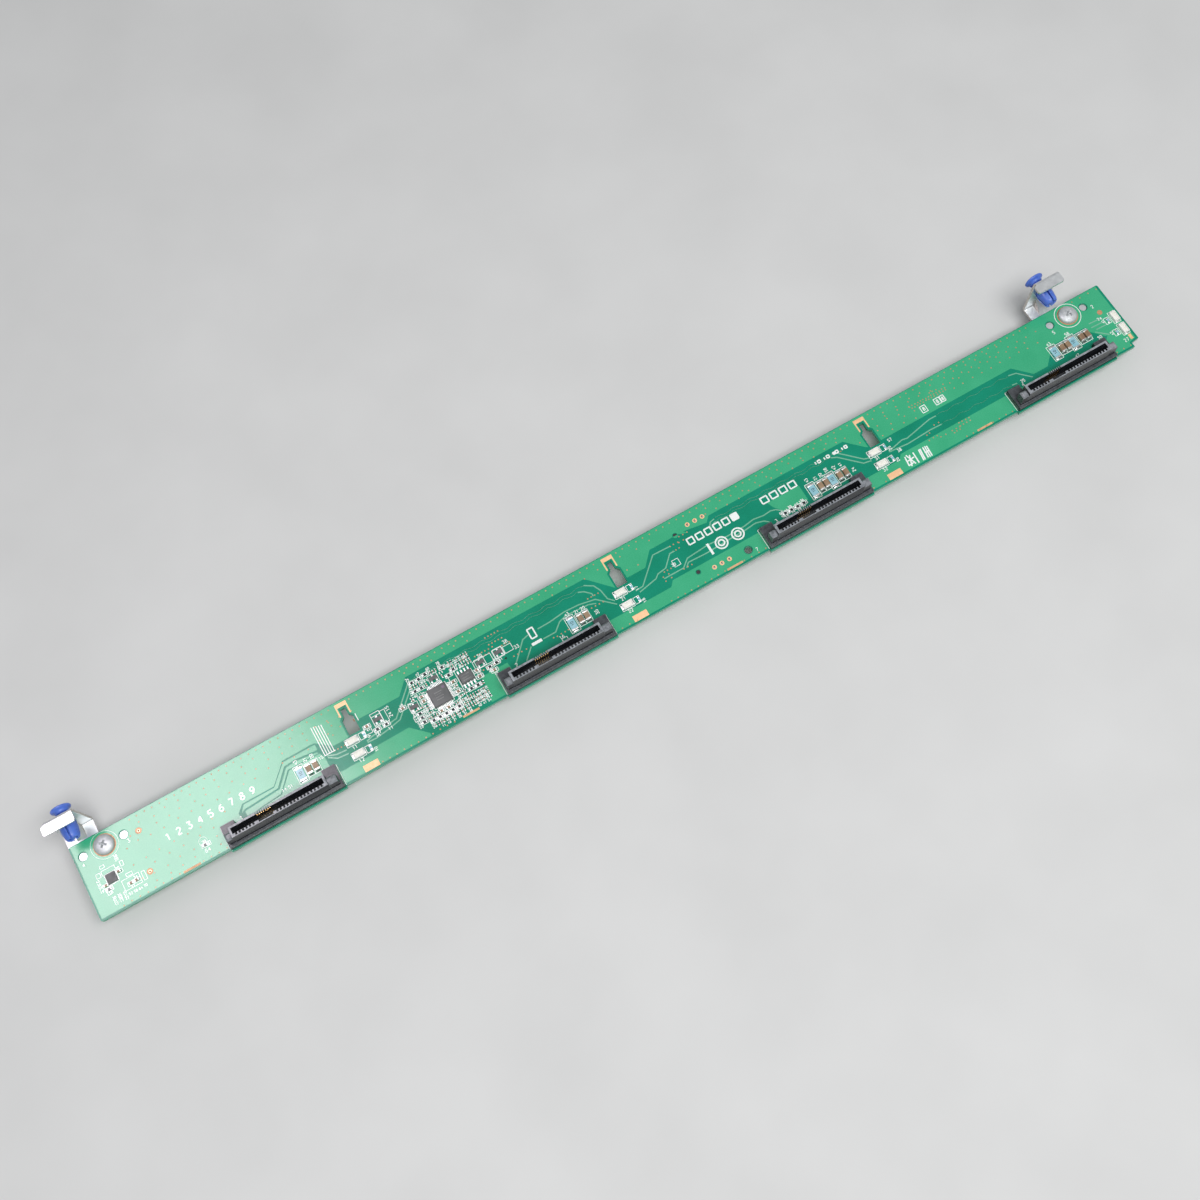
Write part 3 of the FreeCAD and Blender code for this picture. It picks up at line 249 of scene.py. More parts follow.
# %% [markdown]
# ## Metals and ink
# Gold on a board is a wash a few atoms thick, so it looks peach rather than
# yellow and never quite clean. Vias are copper under the mask. Tin is a soft,
# slightly grey white. Every one of them gets a cloudy tint and an uneven
# gloss, because a single flat colour looks like paint.

# %% Metals
def metal_finish(name, dark, light, gloss, per_mm=0.8, depth=0.01, stretch=(1, 1, 1),
                 metal=1.0):
    material, tree, shader = finish_named(name, Metallic=metal)
    cloud = noise(tree, per_mm, 4, stretch)
    tree.links.new(ramp(tree, cloud, (0.3, dark), (0.7, light)),
                   shader.inputs["Base Color"])
    tree.links.new(span(tree, noise(tree, per_mm * 1.7, 3, stretch), *gloss),
                   shader.inputs["Roughness"])
    relief(tree, shader, noise(tree, per_mm * 4, 3, stretch), depth)
    return material


wash_gold = metal_finish("wash_gold", (0.82, 0.48, 0.25), (0.95, 0.60, 0.35), (0.45, 0.6),
                         metal=0.25)
via_copper = metal_finish("via_copper", (0.42, 0.20, 0.10), (0.62, 0.34, 0.19), (0.45, 0.6),
                          metal=0.25)
aged_gold = metal_finish("aged_gold", (0.56, 0.32, 0.16), (0.76, 0.47, 0.26), (0.5, 0.65),
                         metal=0.1)
bright_copper = metal_finish("bright_copper", (0.78, 0.46, 0.30), (0.95, 0.66, 0.48), (0.3, 0.45))
contact_gold = metal_finish("contact_gold", (0.80, 0.50, 0.16), (0.95, 0.66, 0.28), (0.2, 0.35))
tin_plate = metal_finish("tin_plate", (0.66, 0.66, 0.64), (0.86, 0.86, 0.84), (0.28, 0.5))
solder = metal_finish("solder", (0.60, 0.61, 0.62), (0.80, 0.81, 0.82), (0.22, 0.4), 1.4)
zinc_screw = metal_finish("zinc_screw", (0.48, 0.50, 0.51), (0.64, 0.66, 0.67), (0.46, 0.6),
                          1.0, 0.02, metal=0.45)
bright_tin = metal_finish("bright_tin", (0.70, 0.70, 0.68), (0.86, 0.86, 0.84), (0.2, 0.32),
                          0.2, 0.004, (1, 6, 1))
print("nine metals made")

# %% [markdown]
# ## Zinc plated sheet
# The brackets are cut from sheet that was plated before it was cut. Its faces
# show the broad crystals of the plating, and its cut edges are bare steel
# that has started to brown.

# %% Bracket sheet
def sheet_finish():
    material, tree, shader = finish_named("zinc_sheet", Metallic=0.75)
    crystal = add(tree, "ShaderNodeTexVoronoi",
                  {"Vector": place(tree), "Scale": 0.5 / MM})
    shade = add(tree, "ShaderNodeSeparateColor", {"Color": crystal.outputs["Color"]})
    cloud = noise(tree, 0.5, 4)
    plated = ramp(tree, add(tree, "ShaderNodeMath",
                            {0: shade.outputs[0], 1: cloud}, operation="MULTIPLY").outputs[0],
                  (0.0, (0.68, 0.70, 0.71)), (0.7, (0.80, 0.82, 0.83)))
    browned = ramp(tree, noise(tree, 1.5, 3), (0.3, (0.42, 0.38, 0.34)),
                   (0.75, (0.66, 0.64, 0.60)))
    colour = blend_colours(tree, facing(tree, 0), plated, browned)
    tree.links.new(colour, shader.inputs["Base Color"])
    tree.links.new(span(tree, cloud, 0.34, 0.46), shader.inputs["Roughness"])
    relief(tree, shader, noise(tree, 2.5, 4), 0.012)
    return material


zinc_sheet = sheet_finish()
print("bracket sheet made")

# %% [markdown]
# ## Moulded plastics
# The sockets are moulded from a glass-filled resin: charcoal with a blue
# cast, a fine grain, and paler rubs where drives have scraped past. A Bevel
# node compares the true surface with a rounded one, so a paler colour gathers
# along the edges by itself: partly rubs and partly a painted highlight. On the
# sockets the faces square to the up axis are painted lighter too, the highest
# most, as painted light on their tops. The snap plungers are nylon, blue and a
# little waxy.

# %% Plastics
def plastic_finish(name, dark, light, rub_and_highlight, gloss, grain=3.0, rub_and_highlight_width=0.16, painted_top_light=None,
                   **fixed):
    material, tree, shader = finish_named(name, **fixed)
    base = ramp(tree, noise(tree, 0.35, 4), (0.3, dark), (0.7, light))
    # Edges get a paler colour: partly rubbed wear, partly a painted highlight.
    rounded = add(tree, "ShaderNodeBevel", {"Radius": rub_and_highlight_width * MM}, samples=4)
    true = add(tree, "ShaderNodeNewGeometry").outputs["Normal"]
    turned = add(tree, "ShaderNodeVectorMath",
                 {0: rounded.outputs[0], 1: true}, operation="DOT_PRODUCT")
    edge = span(tree, turned.outputs["Value"], 1, 0, 0.80, 0.995)
    wear_and_highlight = add(tree, "ShaderNodeMath", {0: edge, 1: noise(tree, 1.1, 3)},
               operation="MULTIPLY").outputs[0]
    colour = blend_colours(tree, wear_and_highlight, base, rub_and_highlight)
    if painted_top_light:
        # Faces square to the up axis are painted lighter in patches, the highest ones most:
        # painted light on the tops.
        spot_at = add(tree, "ShaderNodeSeparateXYZ", {"Vector": place(tree)})
        share = span(tree, spot_at.outputs[2], *painted_top_light, 2.5 * MM, 9.4 * MM)
        patchy = add(tree, "ShaderNodeMath", {0: share, 1: noise(tree, 0.8, 4)},
                     operation="MULTIPLY").outputs[0]
        painted_top_share = add(tree, "ShaderNodeMath", {0: patchy, 1: facing(tree, 2)},
                     operation="MULTIPLY").outputs[0]
        colour = blend_colours(tree, painted_top_share, colour, rub_and_highlight)
    tree.links.new(colour, shader.inputs["Base Color"])
    tree.links.new(span(tree, noise(tree, 0.6, 4), *gloss), shader.inputs["Roughness"])
    relief(tree, shader, noise(tree, grain, 2), 0.02, 0.4)
    return material


# The sockets' tops get painted light, and their edges a painted highlight mixed with rubs.
socket_resin = plastic_finish("socket_resin", (0.009, 0.010, 0.013), (0.019, 0.022, 0.027),
                              (0.34, 0.36, 0.39), (0.18, 0.30),
                              painted_top_light=(0.35, 1.5), Specular_IOR_Level=0.3)
header_resin = plastic_finish("header_resin", (0.014, 0.014, 0.015), (0.026, 0.026, 0.028),
                              (0.16, 0.16, 0.17), (0.4, 0.55))
nylon_blue = plastic_finish("nylon_blue", (0.060, 0.135, 0.54), (0.100, 0.200, 0.68),
                            (0.36, 0.50, 0.92), (0.26, 0.4), 1.2, 0.3,
                            Subsurface_Weight=0.12, Subsurface_Scale=0.001)
chip_epoxy = plastic_finish("chip_epoxy", (0.075, 0.080, 0.080), (0.110, 0.116, 0.116),
                            (0.22, 0.22, 0.22), (0.42, 0.6), 5.0, 0.08)
light_case = plastic_finish("light_case", (0.80, 0.80, 0.76), (0.88, 0.88, 0.85),
                            (0.93, 0.93, 0.91), (0.3, 0.42), 2.0, 0.1)
resistor_glaze = plastic_finish("resistor_glaze", (0.24, 0.50, 0.58), (0.34, 0.60, 0.68),
                                (0.52, 0.70, 0.74), (0.18, 0.3), 1.5, 0.12)
film_glaze = plastic_finish("film_glaze", (0.012, 0.013, 0.018), (0.030, 0.034, 0.044),
                            (0.10, 0.12, 0.15), (0.15, 0.28), 2.0, 0.08)
brown_ceramic = plastic_finish("brown_ceramic", (0.22, 0.13, 0.075), (0.36, 0.25, 0.15),
                               (0.50, 0.40, 0.28), (0.4, 0.55), 4.0, 0.1)
print("eight plastics and ceramics made")

# %% [markdown]
# ## Legend ink
# The legend is screen printed white ink. It is a little thick, slightly
# broken where the mesh of the screen left it thin, and nearly as glossy as
# the mask round it. Ink, lens and a few small finishes below have the same
# make-up, a colour that drifts in soft clouds, so one helper makes them all.

# %% Ink and lens
def cloudy_finish(name, roughness, per_mm, detail, *stops, depth=0):
    """A finish whose colour drifts in soft clouds, with bumps if it has a depth."""
    material, tree, shader = finish_named(name, Roughness=roughness)
    clouds = noise(tree, per_mm, detail)
    tree.links.new(ramp(tree, clouds, *stops), shader.inputs["Base Color"])
    if depth:
        relief(tree, shader, clouds, depth)
    return material


legend_ink = cloudy_finish("legend_ink", 0.22, 3.5, 3, (0.26, (0.58, 0.70, 0.64)),
                           (0.40, (0.86, 0.89, 0.87)), (0.8, (0.92, 0.93, 0.91)), depth=0.01)
light_lens = cloudy_finish("light_lens", 0.5, 1.5, 2, (0.3, (0.80, 0.79, 0.70)),
                           (0.7, (0.88, 0.87, 0.80)))
print("ink and lens made")

# %% [markdown]
# ## Turning shapes into pieces
# Everything below ends as a plain mesh with its place in its vertices, one
# finish, and a body to ride on. A flat shape starts as a filled 2-D curve,
# because a curve fills its own outline and leaves holes where one outline
# lies inside another. It is drawn in millimetres and only then put in place,
# as the fill loses fine corners when it works in metres.

# %% Helpers for pieces
def put(name, data):
    """An object in the scene that holds some data."""
    made = bpy.data.objects.new(name, data)
    bpy.context.collection.objects.link(made)
    return made


def mesh_of(work, outward=False):
    """The mesh built in some bmesh work, with its faces turned outward if asked."""
    if outward:
        bmesh.ops.recalc_face_normals(work, faces=work.faces)
    mesh = bpy.data.meshes.new("shape")
    work.to_mesh(mesh)
    work.free()
    return mesh


def as_mesh(source):
    """A plain mesh of an object with all it carries; the object is removed."""
    bpy.context.collection.objects.link(source)
    ready = bpy.context.evaluated_depsgraph_get()
    mesh = bpy.data.meshes.new_from_object(source.evaluated_get(ready), depsgraph=ready)
    bpy.data.objects.remove(source)
    return mesh


def piece(name, mesh, finish, body="root", stands_for=(), smooth=None):
    """A finished piece: one mesh, one finish, riding on a body."""
    mesh.name = name
    mesh.materials.clear()
    mesh.materials.append(finish)
    # A swept ribbon comes out smooth shaded, which would round its flat face.
    if smooth is None:
        mesh.shade_flat()
    else:
        mesh.shade_smooth()
        mesh.set_sharp_from_angle(angle=math.radians(smooth))
    made = put(name, mesh)
    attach(made, body)
    if stands_for:
        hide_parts(*stands_for)
    print(name, len(mesh.polygons), "faces")
    return made


def merged(mesh, gap=0.0001):
    """Weld vertices that share a place, and turn every face outward."""
    work = bmesh.new()
    work.from_mesh(mesh)
    bmesh.ops.remove_doubles(work, verts=work.verts, dist=gap)
    bmesh.ops.recalc_face_normals(work, faces=work.faces)
    work.to_mesh(mesh)
    work.free()
    return mesh


def inlay(name, outlines, low, high, finish):
    """Closed outlines, filled and given a thickness from low to high."""
    curve = bpy.data.curves.new(name, "CURVE")
    curve.dimensions = "2D"
    curve.fill_mode = "BOTH"
    curve.extrude = (high - low) / 2
    for outline in outlines:
        line = curve.splines.new("POLY")
        line.points.add(len(outline) - 1)
        for point, (x, y) in zip(line.points, outline):
            point.co = (x, y, 0, 1)
        line.use_cyclic_u = True
    mesh = merged(as_mesh(bpy.data.objects.new(name, curve)))
    for vertex in mesh.vertices:
        x, y, z = vertex.co
        vertex.co = spot(x, y, z + (low + high) / 2)
    return piece(name, mesh, finish)


def ring(x, y, diameter, sides=40):
    return [(x + diameter / 2 * math.cos(2 * math.pi * i / sides),
             y + diameter / 2 * math.sin(2 * math.pi * i / sides)) for i in range(sides)]


def frame_of(left, low, right, high):
    return [(left, low), (right, low), (right, high), (left, high)]


# %% [markdown]
# ## The board's round holes
# The copper has to keep clear of every hole, so the holes are looked up in
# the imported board. Where a hole breaks the socket face, an edge there joins a
# flat face to a wall. Chains of such edges that close in a small circle are
# the holes.

# %% Find the holes
def face_loops(name, level):
    """Closed chains of edges between a node's face at one level and its walls."""
    work = bmesh.new()
    work.from_mesh(bpy.data.objects[name].data)
    bmesh.ops.remove_doubles(work, verts=work.verts, dist=1e-7)
    rim = {edge for edge in work.edges
           if all(abs(v.co.z - level) < 1e-6 for v in edge.verts)
           and sorted(abs(f.normal.z) > 0.5 for f in edge.link_faces) == [False, True]}
    chains = []
    while rim:
        waiting = [rim.pop()]
        chain = set()
        while waiting:
            edge = waiting.pop()
            chain.update(edge.verts)
            near = {e for v in edge.verts for e in v.link_edges if e in rim}
            rim -= near
            waiting.extend(near)
        chains.append([v.co.copy() for v in chain])
    work.free()
    return chains


round_holes = []
for chain in face_loops("circuit_board", 0.0):
    xs = [(co.x - LEFT) / MM for co in chain]
    ys = [(co.y - BOTTOM) / MM for co in chain]
    wide, tall = max(xs) - min(xs), max(ys) - min(ys)
    if wide < 4 and abs(wide - tall) < 0.1:
        round_holes.append(((max(xs) + min(xs)) / 2, (max(ys) + min(ys)) / 2, wide))
round_holes.sort()
print(len(round_holes), "round holes:", [(round(x, 1), round(y, 1), round(d, 1))
                                          for x, y, d in round_holes])

# %% [markdown]
# ## Copper under the mask
# Wide areas of copper carry ground and power. They stop short of the board's
# edges and of every slot, and leave dark channels for the signal traces. The
# areas are raised by the copper's own 0.035 mm, so their edges catch light
# as they do on a real board.

# %% Copper areas of the socket side
COPPER = 0.035


def round_slot(x, enter, leave):
    """The copper's edge from left to right round one keyhole slot."""
    return [(x - 2.75, enter), (x - 2.75, 20.5), (x - 1.45, 21.9), (x - 1.45, 24.9),
            (x + 1.45, 24.9), (x + 1.45, 21.9), (x + 2.75, 20.5), (x + 2.75, leave)]


upper_area = (
    [(0.5, -0.05), (124.8, -0.05), (124.8, 1.1), (119.3, 6.5), (106.1, 6.3), (105.0, 4.4),
     (91.7, 4.4), (91.4, 6.4), (55.9, 6.4), (55.2, 9.0), (57.8, 11.5), (69.8, 11.5),
     (76.2, 18.1), (88.4, 18.1), (93.9, 13.8)]
    + round_slot(hook_x[0], 13.8, 18.0)
    + [(121.5, 18.0), (126.5, 23.2), (198.3, 23.2), (205.5, 15.5)]
    + round_slot(hook_x[1], 14.5, 15.8)
    + [(219.3, 15.8), (224.0, 20.9), (238.0, 20.9), (239.5, 19.5), (247.0, 19.5),
       (249.0, 21.6), (306.0, 21.6), (312.0, 15.6)]
    + round_slot(hook_x[2], 15.0, 15.0)
    + [(375.5, 15.0), (381.5, 8.8), (387.7, 8.8), (393.9, 15.0), (408.8, 15.0),
       (409.4, 12.5), (413.3, 8.2), (422.4, 8.2), (422.4, 27.3), (0.5, 27.3)])
lower_area = [
    (148.5, -0.05), (148.5, 1.2), (149.5, 3.5), (149.5, 9.8), (159.9, 9.8), (160.4, 5.7),
    (198.1, 5.0), (211.8, 4.8), (223.5, 4.8), (225.3, 6.8), (262.9, 6.8), (305.5, 5.0),
    (320.0, 5.0), (321.5, 6.7), (367.4, 6.7), (412.6, 6.7), (414.1, 8.2), (422.4, 8.2),
    (422.4, 2.2), (419.3, 1.6), (419.3, -0.05)]
middle_area = [(269.7, 15.0), (283.1, 15.0), (283.1, 8.6), (273.9, 8.6), (270.7, 12.4)]
fan_out = [
    [(56.3, 8.6), (58.1, 11.0), (69.7, 11.0), (76.2, 17.5), (88.4, 17.5), (88.4, 15.4),
     (80.0, 16.3), (75.8, 15.9), (70.8, 10.3), (69.0, 10.1), (57.6, 9.4)],
    [(57.6, 8.7), (69.0, 9.4), (71.2, 9.6), (76.2, 15.2), (80.0, 15.6), (88.0, 14.7),
     (88.0, 14.2), (76.4, 14.2), (70.8, 7.9), (65.0, 7.4), (60.3, 6.8), (57.6, 6.8)],
    [(61.5, 6.7), (65.0, 7.0), (71.0, 7.5), (76.8, 13.8), (88.4, 13.8), (89.5, 12.0),
     (89.5, 6.7)]]


def holds(outline, x, y):
    """Whether a point lies inside an outline."""
    odd = False
    for (ax, ay), (bx, by) in zip(outline, outline[1:] + outline[:1]):
        if (ay > y) != (by > y) and x < (bx - ax) * (y - ay) / (by - ay) + ax:
            odd = not odd
    return odd


def clear_of_holes(outline, room=0.5):
    return [outline] + [ring(x, y, wide + room) for x, y, wide in round_holes
                        if holds(outline, x, y)]


inlay("copper_upper", clear_of_holes(upper_area), 0, COPPER, mask_on_copper)
inlay("copper_lower", clear_of_holes(lower_area), 0, COPPER, mask_on_copper)
inlay("copper_middle", [middle_area], 0, COPPER, mask_on_copper)
inlay("copper_fan_out", fan_out, 0, COPPER, mask_on_copper)

# %% [markdown]
# ## Bare pads
# Where the mask is left open the copper is gold plated: round the neck of
# each keyhole slot, where the cage's stud makes contact, and along the lower
# edge. A bracket's screw clamps on a ring that was left as bare copper.

# %% Gold pads and copper rings
GOLD = 0.05
EDGE_PAD_FROM_BAY = 39.0
EDGE_PAD_LENGTH = 6.4
gold_pads = []
edge_pads = []
for x in hook_x:
    gold_pads.append([(x - 2.2, 21.6), (x - 2.2, 26.5), (x + 2.2, 26.5), (x + 2.2, 21.6),
                      (x + 1.7, 21.6), (x + 1.7, 25.0), (x - 1.7, 25.0), (x - 1.7, 21.6)])
    gold_pads.append(frame_of(x - 3.1, -0.1, x + 2.6, 2.3))
for bay in BAYS:
    x = bay_x[bay] - EDGE_PAD_FROM_BAY
    edge_pads.append(frame_of(x, -0.1, x + EDGE_PAD_LENGTH, 0.65))
gold_pads.append(frame_of(420.6, 2.3, 421.8, 4.5))
inlay("gold_pads", gold_pads, 0.01, GOLD, wash_gold)
inlay("edge_pads", edge_pads, 0.01, GOLD, aged_gold)

copper_rings = []
for x, y in screw_at.values():
    copper_rings += [ring(x, y, 7.9), ring(x, y, 4.2)]
for x, y, wide in round_holes:
    if 0.95 < wide < 1.05 and x < 30:
        copper_rings += [ring(x, y, 2.2), ring(x, y, wide)]
copper_rings.append(ring(417.3, 17.4, 2.0))
inlay("copper_rings", copper_rings, 0.01, GOLD, via_copper)

plated_rings = []
for x, y, wide in round_holes:
    if 0.9 < wide < 1.1 and 230 < x < 250:
        plated_rings += [ring(x, y, 1.7), ring(x, y, wide)]
inlay("plated_rings", plated_rings, 0.01, GOLD + 0.01, wash_gold)

# %% [markdown]
# ## Geometry Nodes for what follows a path
# Traces, legend lines and rows of vias all follow paths, so each is a small
# tree that grows geometry along edges. `tree_with` starts a tree with named
# inputs, `grow` runs one on a set of paths and keeps the result.

# %% Helpers for geometry trees
def tree_with(name, **inputs):
    tree = bpy.data.node_groups.new(name, "GeometryNodeTree")
    face = tree.interface
    face.new_socket("Geometry", in_out="INPUT", socket_type="NodeSocketGeometry")
    for label, kind in inputs.items():
        face.new_socket(label, in_out="INPUT", socket_type=f"NodeSocket{kind}")
    face.new_socket("Geometry", in_out="OUTPUT", socket_type="NodeSocketGeometry")
    return tree, add(tree, "NodeGroupInput").outputs


def end_tree(tree, geometry, finish):
    """Every tree ends in real geometry with its finish set."""
    real = add(tree, "GeometryNodeRealizeInstances", {0: geometry})
    painted = add(tree, "GeometryNodeSetMaterial",
                  {"Geometry": real.outputs[0], "Material": finish})
    add(tree, "NodeGroupOutput", {0: painted.outputs[0]})


def paths(name, lines):
    """A mesh of edges through the points of each line, in grid millimetres."""
    mesh = bpy.data.meshes.new(name)
    corners = [spot(*point) for line in lines for point in line]
    edges = []
    first = 0
    for line in lines:
        edges += [(first + i, first + i + 1) for i in range(len(line) - 1)]
        first += len(line)
    mesh.from_pydata(corners, edges, [])
    return mesh


def grow(name, data, tree, **values):
    """Run a tree on a mesh of paths or points, and give the plain mesh."""
    source = bpy.data.objects.new(name, data)
    modifier = source.modifiers.new("grow", "NODES")
    modifier.node_group = tree
    for item in tree.interface.items_tree:
        if item.in_out == "INPUT" and item.name in values:
            modifier[item.identifier] = values[item.name]
    return as_mesh(source)


def ribbon_tree():
    """A flat ribbon with rounded corners along each path."""
    tree, given = tree_with("ribbon", Width="Float", Height="Float", Corner="Float",
                            Finish="Material")
    line = add(tree, "GeometryNodeMeshToCurve", {0: given["Geometry"]})
    upright = add(tree, "GeometryNodeSetCurveNormal", {0: line.outputs[0]}, mode="Z_UP")
    soft = add(tree, "GeometryNodeFilletCurve",
               {0: upright.outputs[0], "Radius": given["Corner"], "Limit Radius": True},
               mode="POLY")
    soft.inputs["Count"].default_value = 2
    section = add(tree, "GeometryNodeCurvePrimitiveQuadrilateral",
                  {"Width": given["Width"], "Height": given["Height"]})
    swept = add(tree, "GeometryNodeCurveToMesh",
                {0: soft.outputs[0], 1: section.outputs[0], "Fill Caps": True})
    end_tree(tree, swept.outputs[0], given["Finish"])
    return tree


ribbon = ribbon_tree()
CLIMB = 0.0015


def ribbons(name, lines, width, low, high, finish, corner=0.3):
    # Each stroke climbs a little, so strokes that cross never share a plane.
    raised = [[(*point, (low + high) / 2 + CLIMB * (step + 3 * (count % 4)))
               for step, point in enumerate(line)] for count, line in enumerate(lines)]
    mesh = grow(name, paths(name, raised), ribbon, Width=width * MM,
                Height=(high - low) * MM, Corner=corner * MM, Finish=finish)
    return piece(name, mesh, finish)


# %% [markdown]
# ## Signal traces
# Fast signals run in pairs across the dark channels. Some pairs wave gently
# to bring both lines to the same length. The straight runs are ribbons along
# their corner points, and the waves come from a tree that pushes a finely
# divided line sideways by a sine of its own length. The waving ribbons stand
# on edge, so from above each is only a fine line.

# %% Straight traces
TRACE_WIDTH = 0.44
traces = [
    [(90.3, 11.8), (93.5, 10.6), (97.2, 10.3)],
    [(90.3, 11.2), (93.2, 9.2), (97.2, 8.8)],
    [(104.6, 9.5), (107.0, 10.1), (113.0, 11.0), (117.0, 11.5), (126.0, 20.4), (128.0, 21.1)],
    [(104.6, 9.0), (108.0, 8.8), (113.0, 9.5), (118.0, 10.5), (126.6, 19.0), (128.0, 19.9)],
    [(197.0, 21.1), (200.0, 19.2), (201.3, 16.5), (201.9, 12.5), (203.8, 10.5)],
    [(194.0, 19.9), (196.0, 19.0), (198.0, 17.0), (198.0, 15.9)],
    [(175.0, 15.2), (180.0, 15.3), (186.0, 16.0), (192.0, 15.7), (198.0, 14.5), (203.8, 9.0)],
    [(175.0, 11.0), (180.0, 11.0), (183.0, 13.6), (186.0, 14.5), (195.0, 14.0), (197.5, 13.0)],
    [(162.3, 5.8), (162.3, 7.8), (168.6, 14.4), (171.0, 15.0)],
    [(166.0, 5.8), (166.2, 7.0), (170.0, 10.7)],
    [(212.0, 10.0), (215.0, 10.2), (224.0, 18.6), (231.0, 18.4)],
    [(213.0, 8.8), (220.5, 10.3), (222.0, 11.5), (225.5, 12.0), (229.5, 16.0), (231.5, 16.0)],
    [(223.0, 8.8), (231.0, 8.8), (234.0, 11.3), (243.0, 12.0), (251.0, 11.3), (258.0, 11.5),
     (262.0, 12.1), (266.0, 11.5), (269.0, 11.8), (271.0, 11.2), (274.5, 8.2)],
    [(232.0, 8.3), (233.5, 9.8), (241.0, 9.5), (251.0, 9.9), (258.0, 10.1), (262.0, 10.5),
     (265.0, 9.6), (266.5, 8.3)],
    [(246.6, 16.8), (248.2, 19.0), (250.0, 19.4)],
    [(247.6, 16.8), (248.8, 18.0), (250.0, 18.3)],
    [(300.0, 19.4), (302.0, 18.7), (309.0, 11.8), (311.0, 11.2)],
    [(299.0, 18.3), (301.0, 17.4), (308.0, 10.5), (311.0, 9.9)],
    [(318.4, 9.9), (321.0, 10.3), (325.0, 11.2), (327.0, 10.8), (338.0, 13.0), (341.0, 13.0)],
    [(318.4, 9.5), (321.0, 9.3), (326.0, 8.8), (336.0, 9.3), (341.0, 9.1)],
    [(373.0, 13.0), (376.0, 12.4), (380.5, 8.0)],
    [(372.0, 9.1), (374.0, 8.8)],
    [(411.0, 15.5), (416.0, 15.2)],
    [(410.8, 13.7), (416.5, 13.5)],
    [(412.0, 12.1), (416.5, 12.0)],
    [(411.0, 11.5), (415.0, 8.0)]]
ribbons("signal_traces", traces, TRACE_WIDTH, 0, COPPER, mask_on_trace)

# %% Waving traces
def wave_tree():
    """A ribbon on edge along each path, which swings from side to side as it goes."""
    tree, given = tree_with("length_match", Width="Float", Height="Float", Swing="Float",
                            Wave="Float", Finish="Material")
    line = add(tree, "GeometryNodeMeshToCurve", {0: given["Geometry"]})
    fine = add(tree, "GeometryNodeResampleCurve", {0: line.outputs[0], "Length": 0.5 * MM},
               mode="LENGTH")
    along = add(tree, "GeometryNodeSplineParameter").outputs["Length"]
    turns = add(tree, "ShaderNodeMath", {0: along, 1: given["Wave"]}, operation="DIVIDE")
    angle = add(tree, "ShaderNodeMath", {0: turns.outputs[0], 1: 2 * math.pi},
                operation="MULTIPLY")
    sine = add(tree, "ShaderNodeMath", {0: angle.outputs[0]}, operation="SINE")
    swing = add(tree, "ShaderNodeMath", {0: sine.outputs[0], 1: given["Swing"]},
                operation="MULTIPLY")
    sideways = add(tree, "ShaderNodeCombineXYZ", {"Y": swing.outputs[0]})
    swung = add(tree, "GeometryNodeSetPosition",
                {0: fine.outputs[0], "Offset": sideways.outputs[0]})
    upright = add(tree, "GeometryNodeSetCurveNormal", {0: swung.outputs[0]}, mode="Z_UP")
    section = add(tree, "GeometryNodeCurvePrimitiveQuadrilateral",
                  {"Width": given["Height"], "Height": given["Width"]})
    swept = add(tree, "GeometryNodeCurveToMesh",
                {0: upright.outputs[0], 1: section.outputs[0], "Fill Caps": True})
    end_tree(tree, swept.outputs[0], given["Finish"])
    return tree


waving = [((128.0, 21.1), (197.0, 21.1)), ((128.0, 19.9), (194.0, 19.9)),
          ((250.0, 19.4), (300.0, 19.4)), ((250.0, 18.3), (299.0, 18.3)),
          ((341.0, 13.0), (373.0, 13.0)), ((341.0, 9.1), (372.0, 9.1))]
waves = grow("waving_traces",
             paths("waving_traces", [[(*point, COPPER / 2) for point in line] for line in waving]),
             wave_tree(), Width=TRACE_WIDTH * MM, Height=COPPER * MM, Swing=0.3 * MM,
             Wave=6.5 * MM, Finish=mask_on_trace)
piece("waving_traces", waves, mask_on_trace)

# %% [markdown]
# ## Vias
# A via is a plated hole that joins the copper on both faces. There are
# hundreds, mostly in rows that stitch the ground areas together, so one small
# rivet-like model is set out along rows. Each row is divided at its own step,
# every point is nudged a little by a seeded random value, and the mask over
# the rings lets the copper show through as a salmon tint.

# %% Via rows
def turned(profile, sides):
    """A closed mesh turned from a profile of (radius, height), in millimetres."""
    work = bmesh.new()
    rows = []
    for radius, height in profile:
        count = 1 if radius == 0 else sides
        rows.append([work.verts.new((radius * math.cos(2 * math.pi * i / sides) * MM,
                                     radius * math.sin(2 * math.pi * i / sides) * MM,
                                     height * MM)) for i in range(count)])
    for low, high in zip(rows, rows[1:]):
        for i in range(sides):
            corners = [low[i % len(low)], low[(i + 1) % len(low)],
                       high[(i + 1) % len(high)], high[i % len(high)]]
            work.faces.new(list(dict.fromkeys(corners)))
    return mesh_of(work, outward=True)


def rivet(outer, inner):
    """A ring on each face of the board with a dimple in its middle."""
    levels = [(0.0, BACK + 0.05), (inner / 2, BACK - 0.02), (outer / 2, BACK - 0.05),
              (outer / 2, BACK), (inner / 2, BACK + 0.1), (inner / 2, -0.1),
              (outer / 2, 0.0), (outer / 2, 0.055), (inner / 2, 0.05), (0.0, -0.05)]
    return turned(levels, 10)


